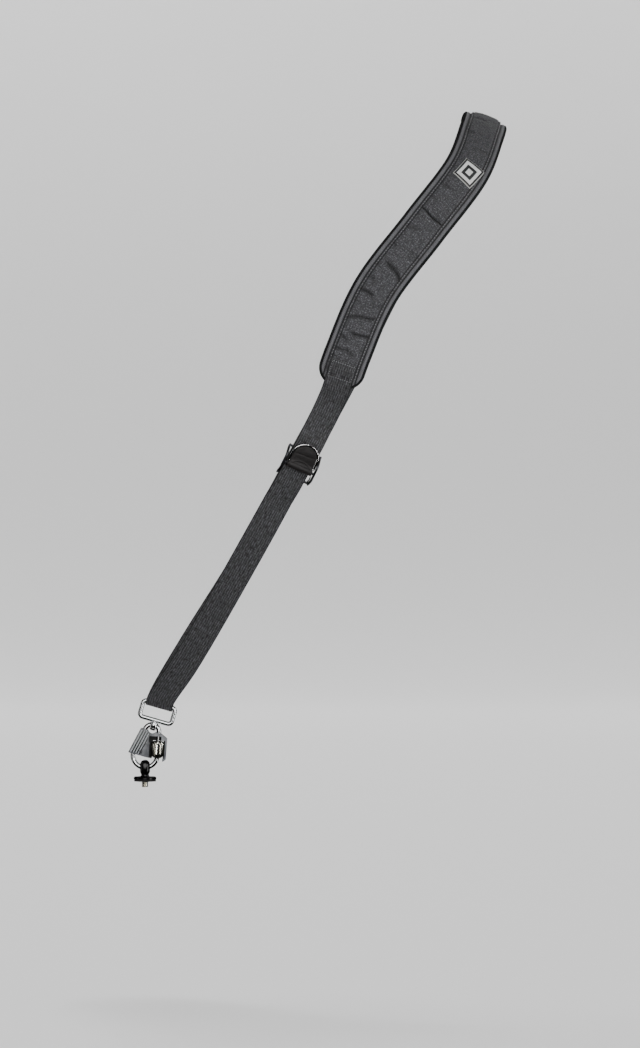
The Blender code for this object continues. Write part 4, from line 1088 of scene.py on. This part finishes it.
# Hook
# A pear of bright steel rod: a small arc at the crown, bored for the swivel's post, and a larger loop below
# that carries the fastener. The gate closes its right side.
HOOK_WIRE = 0.0043
CROWN_RADIUS = 0.0066
LOOP_RADIUS = 0.0113
HOOK_LENGTH = 0.0450
BOSS_WIDTH = 0.0078
NOSE_LENGTH = 0.0020
crown = Vector((0, -(RING_BAR / 2 + GAP + HOOK_WIRE / 2 + CROWN_RADIUS)))
loop = Vector((0, -(HOOK_LENGTH - LOOP_RADIUS)))
lean = math.asin((LOOP_RADIUS - CROWN_RADIUS) / (crown - loop).length)
towards_gate = Vector((math.cos(lean), math.sin(lean)))
hinge = crown + towards_gate * CROWN_RADIUS
nose = loop + towards_gate * LOOP_RADIUS
down_gate = (nose - hinge).normalized()
pear = arc(*crown, CROWN_RADIUS, lean, math.pi - lean, 28)
pear += arc(*loop, LOOP_RADIUS, math.pi - lean, 2 * math.pi + lean, 48)
rod = [hinge + down_gate * HOOK_WIRE / 2, *pear, nose - down_gate * NOSE_LENGTH]
bm = bmesh.new()
sweep(bm, [(x, 0, z) for x, z in rod], oval(HOOK_WIRE, HOOK_WIRE, 24), (0, 1, 0))
boss_top = -RING_BAR / 2 - GAP
boss = BOSS_WIDTH / 2
turned(
    bm,
    [
        (POST_WIDTH / 2 + GAP, boss_top),
        (boss - 0.0010, boss_top),
        (boss - 0.0003, boss_top - 0.0003),
        (boss, boss_top - 0.0011),
        (boss, boss_top - BOSS_HEIGHT + 0.0011),
        (boss - 0.0003, boss_top - BOSS_HEIGHT + 0.0003),
        (boss - 0.0010, boss_top - BOSS_HEIGHT),
        (POST_WIDTH / 2 + GAP, boss_top - BOSS_HEIGHT),
        (POST_WIDTH / 2 + GAP, boss_top),
    ],
)
hook = finished("hook_rod", bm, chrome, seat=HOOK_SEAT)
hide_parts("hook_body")
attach(hook, "hook")

# Gate and lock nut
# The gate is a short steel rod. The nut screwed on it is turned from bright steel with ten milled flutes,
# and its lower end is tapered to seat on the hook's nose.
NUT_WIDTH = 0.0128
NUT_LENGTH = 0.0156
NUT_DOWN = 0.0082
NUT_FLUTES = 10
FLUTE_DEPTH = 0.0012
NUT_PROFILE = (
    # along: share of the nut's length from the top; width: share of its width; flute: share of the full depth
    (0.00, 0.62, 0.0),
    (0.03, 0.76, 0.0),
    (0.09, 0.91, 0.3),
    (0.16, 0.99, 0.9),
    (0.24, 1.00, 1.0),
    (0.70, 0.98, 1.0),
    (0.80, 0.90, 0.9),
    (0.90, 0.76, 0.5),
    (0.97, 0.62, 0.1),
    (1.00, 0.52, 0.0),
)
gate_length = (hinge - nose).length
gate_tilt = math.atan2((hinge - nose).x, (hinge - nose).y)
GATE_SEAT = HOOK_SEAT @ Matrix.Translation((hinge.x, 0, hinge.y)) @ Matrix.Rotation(gate_tilt, 4, "Y")
gate_end = -gate_length + NOSE_LENGTH + GAP
gate_z = [-HOOK_WIRE / 2 - GAP, -HOOK_WIRE / 2 - 2 * GAP, gate_end + GAP, gate_end]
bm = bmesh.new()
sweep(bm, [(0, 0, z) for z in gate_z], oval(HOOK_WIRE, HOOK_WIRE, 24), (0, 1, 0), scales=[0.88, 1, 1, 0.88])
gate = finished("gate_rod", bm, chrome, seat=GATE_SEAT)
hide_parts("gate")
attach(gate, "hook")

bore = HOOK_WIRE / 2 + GAP
profile = [(bore, -NUT_DOWN)]
profile += [(width * NUT_WIDTH / 2, -NUT_DOWN - along * NUT_LENGTH) for along, width, _ in NUT_PROFILE]
profile += [(bore, -NUT_DOWN - NUT_LENGTH), (bore, -NUT_DOWN)]
bm = bmesh.new()
turned(bm, profile, steps=NUT_FLUTES * 16)
share_along, _, flute_share = zip(*NUT_PROFILE)
for vert in bm.verts:
    radius = math.hypot(vert.co.x, vert.co.y)
    if radius > bore + GAP:
        angle = math.atan2(vert.co.y, vert.co.x)
        depth = np.interp((-NUT_DOWN - vert.co.z) / NUT_LENGTH, share_along, flute_share)
        hollow = (0.5 - 0.5 * math.cos(NUT_FLUTES * angle)) ** 0.7
        vert.co.xy *= 1 - FLUTE_DEPTH * depth * hollow / radius

# Turned stainless steel: warm bright, with turning marks too fine to see but as softer gloss
turned_steel = new_surface("turned_steel", Metallic=1.0, Roughness=0.16, Base_Color=srgb("#f2efe2"))
uneven(turned_steel, 400.0, 4.0, gloss=(0.1, 0.26))
nut = finished("fluted_nut", bm, turned_steel, sharp=50, seat=GATE_SEAT)
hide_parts("lock_nut")
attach(nut, "hook")

# Hook cover
# Two moulded half shells in smoke-grey, slightly clear plastic, clamped over the hook's spine and gate by one
# screw. The front one opens over the nut. Over the nut's upper end both are hollowed, the front one right
# through. Ridges run down both over the spine.
COVER_TOP = 0.0104
COVER_BOTTOM = 0.0351
COVER_THICK = 0.0092
COVER_WALL = 0.0014
COVER_CHAMFER = 0.0028
COVER_SHOULDER = 0.0056
NOTCH_GAP = 0.0012
WINDOW_GAP = 0.0012
RECESS_RISE = 0.0040
RECESS_NEAR = 0.0085
RECESS_FAR = 0.0028
SCREW_WIDTH = 0.0022
SCREW_HEAD_WIDTH = 0.0030
SCREW_HEAD_HEIGHT = 0.0006
SCREW_ASIDE = 0.0046
SCREW_UP = 0.0036
SCREW_SLOT_TURN = 0.5
RIDGES = 4
RIDGE_PITCH = 0.0023
RIDGE_WIDTH = 0.0010
RIDGE_RISE = 0.0006
RIDGE_INSET = 0.0019
RIDGE_ENDS = 0.0012
RIDGE_UNDER_NOTCH = 0.0031
SHADE_STRIP_WIDTH = 0.0012
SHADE_STRIP_RISE = 0.00015
COVER_BEVEL = 0.0008


def beside_pear(offset, z, side):
    """X of the line beside the spine or gate, this far outside it, at the height z."""
    return side * (CROWN_RADIUS + offset - math.sin(lean) * (z - crown.y)) / math.cos(lean)


def cut_away(thing, tool):
    """Cuts the tool from the piece and removes the tool."""
    cut = thing.modifiers.new("Cut", "BOOLEAN")
    cut.operation = "DIFFERENCE"
    cut.solver = "MANIFOLD"
    cut.material_mode = "TRANSFER"
    cut.object = tool
    bpy.context.view_layer.update()
    graph = bpy.context.evaluated_depsgraph_get()
    mesh = bpy.data.meshes.new_from_object(thing.evaluated_get(graph))
    thing.modifiers.clear()
    thing.data = mesh
    bpy.data.objects.remove(tool, do_unlink=True)


left = HOOK_WIRE / 2 + GAP + COVER_WALL
right = NUT_WIDTH / 2 + GAP + COVER_WALL
top, bottom = -COVER_TOP, -COVER_BOTTOM
cover_outline = [
    (beside_pear(left, top, -1), top),
    (beside_pear(left, bottom, -1), bottom),
    (beside_pear(right, bottom, 1) - COVER_CHAMFER, bottom),
    (beside_pear(right, bottom + COVER_CHAMFER, 1), bottom + COVER_CHAMFER),
    (beside_pear(right, top - COVER_CHAMFER, 1), top - COVER_CHAMFER),
    (beside_pear(right, top, 1) - COVER_SHOULDER, top),
]

# Smoke polycarbonate: injection moulded, satin outside, lets a little light through
smoke = new_surface(
    "smoke_polycarbonate", Roughness=0.25, IOR=1.58, Transmission_Weight=0.15, Coat_Weight=0.3
)
spot = add_node(smoke, "TexCoord", take="Object")
cloud = speckle(smoke, spot, 170.0, 4.0)
cloud = ramp(smoke, cloud, 0.35, 0.65)
tint = blend(smoke, cloud, "#434549", "#7d7f84")
emboss(smoke, cloud, 0.15, 0.0003)
feed(smoke, Base_Color=tint)

# Painted shade: the thick side over the spine is coloured almost black, as smoke plastic looks when seen
# edge-on
smoke_painted_shade = new_surface("smoke_polycarbonate_painted_shade", Roughness=0.25, IOR=1.58, Coat_Weight=0.3)
uneven(smoke_painted_shade, 170.0, 4.0, colours=("#101112", "#2c2d2f"))

# Inside the shells: painted shade, near black on every cut and mating face, where little light reaches the
# plastic
inside_painted_shade = new_surface("cover_inside_painted_shade", Roughness=0.55)
uneven(inside_painted_shade, 500.0, 3.0, colours=("#040404", "#151516"))

# Ridge crests: the same plastic, painted pale as a highlight
ridge_highlight = new_surface("ridge_highlight_polycarbonate", Roughness=0.35, IOR=1.58, Coat_Weight=0.2)
uneven(ridge_highlight, 260.0, 4.0, colours=("#8b8d91", "#d6d8dc"))

shell_thick = (COVER_THICK - GAP) / 2
screw_at = Vector((-SCREW_ASIDE, 0, bottom + SCREW_UP))
for name, side in (("cover_front", -1), ("cover_back", 1)):
    bm = bmesh.new()
    corners = [bm.verts.new((x, side * GAP / 2, z)) for x, z in cover_outline]
    thicken(bm, [bm.faces.new(corners)], (0, side * shell_thick, 0))
    bmesh.ops.recalc_face_normals(bm, faces=bm.faces)
    soften(bm, COVER_BEVEL)
    # Painted shade: the mating faces take the near-black inside colour, the faces on the spine side the
    # near-black edge colour
    for face in bm.faces:
        spine_side = face.normal.x < -0.25 and face.calc_center_median().x < 0
        mating = all(abs(vert.co.y) < 2 * GAP for vert in face.verts)
        face.material_index = 1 if mating else 2 * int(spine_side)
    shell = finished(name + "_shell", bm, smoke, sharp=30, seat=HOOK_SEAT)
    shell.data.materials.append(inside_painted_shade)
    shell.data.materials.append(smoke_painted_shade)

    # Each cutter carries the near-black inside colour, and the cut passes it on as painted shade to the faces
    # it makes
    bm = bmesh.new()
    channel = HOOK_WIRE + 2 * GAP
    sweep(bm, [(x, 0, z) for x, z in pear], oval(channel, channel, 24), (0, 1, 0), closed=True)
    cut_away(shell, finished("channel", bm, inside_painted_shade, seat=HOOK_SEAT))

    bm = bmesh.new()
    nut_room = NUT_WIDTH / 2 + GAP
    nut_top, nut_under = GAP - NUT_DOWN, -NUT_DOWN - NUT_LENGTH - GAP
    room_end = -gate_length - NUT_LENGTH
    turned(bm, [(0, nut_top), (nut_room, nut_top), (nut_room, room_end), (0, room_end)], 64)
    cut_away(shell, finished("nut_room", bm, inside_painted_shade, seat=GATE_SEAT))

    near, far = nut_room + WINDOW_GAP, nut_room - 0.0002
    sill, below = nut_top + 0.0005, -gate_length - 2 * NUT_LENGTH
    window = [(far, sill), (-near, sill), (-near, below), (0, below), (0, nut_under), (far, nut_under)]
    rim, foot = nut_top + RECESS_RISE, nut_top - RECESS_RISE / 2
    recess = [(RECESS_FAR, rim), (-RECESS_NEAR, rim), (-RECESS_NEAR, foot), (RECESS_FAR, foot)]
    floor_y = COVER_THICK / 2 - COVER_WALL
    for opening, far_y in ((window, 0), (recess, floor_y)):
        if side < 0 or far_y:
            bm = bmesh.new()
            corners = [bm.verts.new((x, far_y, z)) for x, z in opening]
            thicken(bm, [bm.faces.new(corners)], (0, -2 * COVER_THICK, 0))
            cut_away(shell, finished("opening", bm, inside_painted_shade, seat=GATE_SEAT))

    across_hook = Matrix.Rotation(math.pi / 2, 4, "X")
    head_z = boss_top - BOSS_HEIGHT - GAP - POST_HEAD_THICK / 2
    rooms = ((POST_HEAD_WIDTH / 2 + NOTCH_GAP, Vector((0, 0, head_z))), (SCREW_WIDTH / 2 + GAP, screw_at))
    for radius, at in rooms:
        bm = bmesh.new()
        bmesh.ops.create_cone(
            bm, cap_ends=True, segments=40, radius1=radius, radius2=radius, depth=2 * COVER_THICK,
            matrix=Matrix.Translation(at) @ across_hook,
        )
        cut_away(shell, finished("room", bm, inside_painted_shade, seat=HOOK_SEAT))
    shell.data.shade_smooth()
    shell.data.set_sharp_from_angle(angle=math.radians(30))
    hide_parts(name)
    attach(shell, "hook")

    # Ridges: the same plastic, painted pale along their crests as a highlight, with thin dark strips of
    # painted shade between them. The last starts below the notch.
    bm = bmesh.new()
    for first, width, rise in ((0.5, SHADE_STRIP_WIDTH, SHADE_STRIP_RISE), (0.0, RIDGE_WIDTH, RIDGE_RISE)):
        for ridge in range(RIDGES):
            inset = RIDGE_INSET + (ridge + first) * RIDGE_PITCH
            start = top - (RIDGE_ENDS if ridge + first < RIDGES - 1 else RIDGE_UNDER_NOTCH)
            ends = [Vector((beside_pear(left - inset, z, -1), z)) for z in (start, bottom + RIDGE_ENDS)]
            line = [ends[0].lerp(ends[1], share) for share in (0, 0.03, 0.5, 0.97, 1)]
            path = [(point.x, side * (COVER_THICK / 2 - 0.00005), point.y) for point in line]
            sweep(bm, path, oval(width, 2 * rise, 12), (0, 1, 0), scales=[0.3, 1, 1, 1, 0.3])
        # The strips between the ridges take the painted-shade colour
        for face in bm.faces:
            face.material_index += first > 0
    ridges = finished(name + "_ridges", bm, ridge_highlight, seat=HOOK_SEAT)
    ridges.data.materials.append(smoke_painted_shade)
    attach(ridges, "hook")

# Cover screw
# A small black machine screw with a slotted pan head, through both shells.
face_y = COVER_THICK / 2 + GAP
head = SCREW_HEAD_WIDTH / 2
shank = SCREW_WIDTH / 2
bm = bmesh.new()
turned(
    bm,
    [
        (0, face_y + SCREW_HEAD_HEIGHT),
        (head * 0.55, face_y + SCREW_HEAD_HEIGHT),
        (head * 0.85, face_y + SCREW_HEAD_HEIGHT * 0.7),
        (head, face_y + SCREW_HEAD_HEIGHT * 0.25),
        (head, face_y),
        (shank, face_y),
        (shank, -COVER_THICK / 2),
        (0, -COVER_THICK / 2),
    ],
    steps=32,
)
screw_seat = HOOK_SEAT @ Matrix.Translation(screw_at) @ Matrix.Rotation(math.pi / 2, 4, "X")
oxide = new_surface("black_oxide_steel", Metallic=1.0, Roughness=0.35)
uneven(oxide, 900.0, 3.0, colours=("#2a2a2c", "#58585c"))
screw = finished("pan_screw", bm, oxide, sharp=35, seat=screw_seat)
bm = bmesh.new()
slot_box = Matrix.Diagonal((head * 2.4, SCREW_HEAD_HEIGHT, SCREW_HEAD_HEIGHT * 1.1, 1))
lift = Matrix.Translation((0, 0, face_y + SCREW_HEAD_HEIGHT))
bmesh.ops.create_cube(bm, size=1, matrix=Matrix.Rotation(SCREW_SLOT_TURN, 4, "Z") @ lift @ slot_box)
cut_away(screw, finished("slot", bm, oxide, seat=screw_seat))
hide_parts("cover_screw")
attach(screw, "hook")

# Camera fastener
# Turned from aluminium and anodised black: a rounded eye on the hook's loop, a waisted neck and a wide
# flange. The steel stud below is threaded 20 to the inch.
EYE_HEIGHT = 0.0146
EYE_DEPTH = 0.0124
EYE_WIDTH = 0.0098
EYE_FULLNESS = 2.6
EYE_BORE = 0.0074
NECK_WIDTH = 0.0078
WAIST_WIDTH = 0.0072
FOOT_WIDTH = 0.0090
FLANGE_WIDTH = 0.0210
FLANGE_DOWN = 0.0084
FLANGE_THICK = 0.0026
FLANGE_CHAMFER = 0.0009
WASHER_THICK = 0.0016
STUD_WIDTH = 0.00635
STUD_LENGTH = 0.0052
THREAD_PITCH = 0.00127
THREAD_DEPTH = 0.0007
NECK_DOWN = 0.0062
FASTENER_SEAT = Matrix.Translation(JOINTS["fastener_swing"]["pos_m"])
flange_under = -FLANGE_DOWN - FLANGE_THICK
flange = FLANGE_WIDTH / 2
stud = STUD_WIDTH / 2
bm = bmesh.new()
neck_rows = [
    (WAIST_WIDTH / 2 + (FOOT_WIDTH - WAIST_WIDTH) / 2 * t**3, -NECK_DOWN - (FLANGE_DOWN - NECK_DOWN) * t)
    for t in np.linspace(0, 1, 7)
]
turned(
    bm,
    [
        (0, -(EYE_HEIGHT + EYE_BORE) / 4),
        (NECK_WIDTH / 2, -(EYE_HEIGHT + EYE_BORE) / 4),
        *neck_rows,
        (flange - FLANGE_CHAMFER - 0.0022, -FLANGE_DOWN),
        (flange - FLANGE_CHAMFER, -FLANGE_DOWN),
        (flange, -FLANGE_DOWN - FLANGE_CHAMFER),
        (flange, flange_under + 0.0003),
        (flange - 0.0003, flange_under),
        (0, flange_under),
    ],
    steps=64,
)
dome = bmesh.ops.create_uvsphere(bm, u_segments=48, v_segments=32, radius=1)["verts"]
for vert in dome:
    vert.co /= sum(abs(share) ** EYE_FULLNESS for share in vert.co) ** (1 / EYE_FULLNESS)
    vert.co = (vert.co.x * EYE_WIDTH / 2, vert.co.y * EYE_DEPTH / 2, vert.co.z * EYE_HEIGHT / 2 - GAP)

# Black anodised aluminium: a dyed oxide layer sealed glossy, black with sharp lines of light
anodised = new_surface("black_anodised_aluminium", Roughness=0.2, IOR=1.5)
uneven(anodised, 350.0, 5.0, colours=("#040405", "#0d0d0e"), gloss=(0.1, 0.24))
eye = finished("fastener_eye", bm, anodised, sharp=45, seat=FASTENER_SEAT)
bm = bmesh.new()
bmesh.ops.create_cone(
    bm, cap_ends=True, segments=48, radius1=EYE_BORE / 2, radius2=EYE_BORE / 2, depth=2 * EYE_WIDTH,
    matrix=Matrix.Translation((0, 0, -GAP)) @ Matrix.Rotation(math.pi / 2, 4, "Y"),
)
cut_away(eye, finished("eye_bore", bm, anodised, seat=FASTENER_SEAT))
eye.data.shade_smooth()
eye.data.set_sharp_from_angle(angle=math.radians(40))
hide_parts("fastener")
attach(eye, "fastener")

washer_top = flange_under - GAP
washer_under = washer_top - WASHER_THICK
stud_end = washer_under - STUD_LENGTH
bm = bmesh.new()
thread_z = np.arange(flange_under + GAP, stud_end, -THREAD_PITCH / 8)
profile = [(0, thread_z[0]), *((stud, z) for z in thread_z), (stud * 0.8, stud_end), (0, stud_end)]
turned(bm, profile, steps=32)
for vert in bm.verts:
    if math.hypot(vert.co.x, vert.co.y) > stud * 0.9:
        lead = vert.co.z / THREAD_PITCH - math.atan2(vert.co.y, vert.co.x) / math.tau
        depth = abs(2 * (lead % 1.0) - 1)
        vert.co.xy *= 1 - THREAD_DEPTH * depth / stud
stud_piece = finished("threaded_stud", bm, turned_steel, sharp=50, seat=FASTENER_SEAT)
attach(stud_piece, "fastener")

# Washer
# A ring of black rubber under the flange, moulded with shallow concentric ribs that grip.
bm = bmesh.new()
rib_radii = np.linspace(flange - 0.0012, stud + 0.0012, 13)
under = [(radius, washer_under + 0.00025 * (i % 2)) for i, radius in enumerate(rib_radii)]
turned(
    bm,
    [(stud + GAP, washer_top), (flange - GAP - 0.0002, washer_top), (flange - GAP, washer_top - 0.0002),
     (flange - GAP, washer_under + 0.0002), *under, (stud + GAP, washer_under), (stud + GAP, washer_top)],
    steps=64,
)
rubber = new_surface("nitrile_rubber", Roughness=0.8, Base_Color=srgb("#151515"))
spot = add_node(rubber, "TexCoord", take="Object")
grit = speckle(rubber, spot, 2500.0, 2.0)
emboss(rubber, grit, 0.4, 0.0001)
washer = finished("rubber_washer", bm, rubber, seat=FASTENER_SEAT)
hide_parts("washer")
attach(washer, "fastener")

# Studio
# A pale floor that curves up all round, a large soft light in front a little to the right, a weaker one on
# the left, a light from behind for the floor, and the camera level with the strap's middle, five metres
# away.
FLOOR = -0.80
FLAT_RADIUS = 8.0
COVE_RADIUS = 4.0
bm = bmesh.new()
cove = [
    (FLAT_RADIUS + COVE_RADIUS * math.sin(a), FLOOR + COVE_RADIUS * (1 - math.cos(a)))
    for a in np.linspace(0, math.pi / 2, 25)
]
turned(bm, [(0, FLOOR), (FLAT_RADIUS / 2, FLOOR), *cove], steps=64)
paper = new_surface("backdrop_paper", Roughness=0.9, Base_Color=srgb("#efefef"))
floor = finished("floor", bm, paper, sharp=180)
floor.visible_glossy = False


def soft_sun(name, compass, height, spread, strength):
    """A very soft distant light: compass is its bearing from the front, positive to the viewer's right."""
    lamp = bpy.data.lights.new(name, "SUN")
    lamp.angle = math.radians(spread)
    lamp.energy = strength
    thing = bpy.data.objects.new(name, lamp)
    bpy.context.scene.collection.objects.link(thing)
    thing.rotation_euler = (math.radians(90 - height), 0, math.radians(compass))
    return thing


soft_sun("key", 30, 9, 22, 3.9)
soft_sun("fill", -45, 2, 40, 0.75)
floor_only = bpy.data.collections.new("floor_only")
floor_only.objects.link(floor)
floor_light = soft_sun("floor_light", 180, 55, 30, 3.6)
floor_light.light_linking.receiver_collection = floor_only
floor_light.visible_glossy = False

# Cards seen only in reflections. A black tent beside the strap draws the metal's dark edges, a white dome
# round the camera fills its faces and a dim one lies behind it. A bright strip on the right gives round
# pieces their line of light, and a dim one on the left a second.
CARD_MIDDLE = Matrix.Translation((-0.15, 0, -0.37))
CARD_RISE = 18
CARD_SEAT = CARD_MIDDLE @ Matrix.Rotation(math.radians(90 - CARD_RISE), 4, "X")


def hang_card(name, bm, glow):
    """A card that glows, or is black, and is seen in gloss alone."""
    white, black = srgb("#ffffff"), srgb("#000000")
    surface = new_surface(name, Base_Color=black, Roughness=1.0, Emission_Color=white, Emission_Strength=glow)
    card = finished(name, bm, surface)
    card.visible_camera = False
    card.visible_diffuse = False
    card.visible_transmission = False
    card.visible_shadow = False


def reflection_card(name, radius, start, end, glow):
    """Part of a sphere round the strap, between two angles from a line raised a little over the camera."""
    bm = bmesh.new()
    angles = np.radians(np.linspace(start, end, 24))
    turned(bm, [(radius * math.sin(a), radius * math.cos(a)) for a in angles], steps=64)
    bmesh.ops.transform(bm, matrix=CARD_SEAT, verts=bm.verts)
    hang_card(name, bm, glow)


reflection_card("white_dome", 4.0, 0, 24, 2.8)
reflection_card("black_tent", 6.0, 26, 135, 0.0)
reflection_card("back_dome", 6.0, 135, 180, 0.12)
STRIP_AWAY = 3.5
STRIP_SIZE = Matrix.Diagonal((0.4, 4.0, 1, 1))
for name, bearing, glow in (("right_strip", 62, 13.0), ("left_strip", -78, 2.0)):
    bm = bmesh.new()
    upright = Matrix.Rotation(math.radians(bearing), 4, "Z") @ Matrix.Translation((0, -STRIP_AWAY, 0))
    strip = CARD_MIDDLE @ upright @ Matrix.Rotation(math.pi / 2, 4, "X")
    bmesh.ops.create_grid(bm, x_segments=1, y_segments=1, size=0.5, matrix=strip @ STRIP_SIZE)
    hang_card(name, bm, glow)

world = bpy.data.worlds.new("studio")
world.use_nodes = True
world.node_tree.nodes["Background"].inputs["Color"].default_value = srgb("#ffffff")
world.node_tree.nodes["Background"].inputs["Strength"].default_value = 0.29
bpy.context.scene.world = world

CAMERA_X = -0.1517
CAMERA_Z = -0.3704
CAMERA_AWAY = 5.0
PICTURE_HEIGHT = 0.9694
eye_data = bpy.data.cameras.new("camera")
eye_data.sensor_width = 36.0
eye_data.lens = 36.0 * CAMERA_AWAY / PICTURE_HEIGHT
camera = bpy.data.objects.new("camera", eye_data)
bpy.context.scene.collection.objects.link(camera)
camera.location = (CAMERA_X, -CAMERA_AWAY, CAMERA_Z)
camera.rotation_euler = (math.pi / 2, 0, 0)
bpy.context.scene.camera = camera
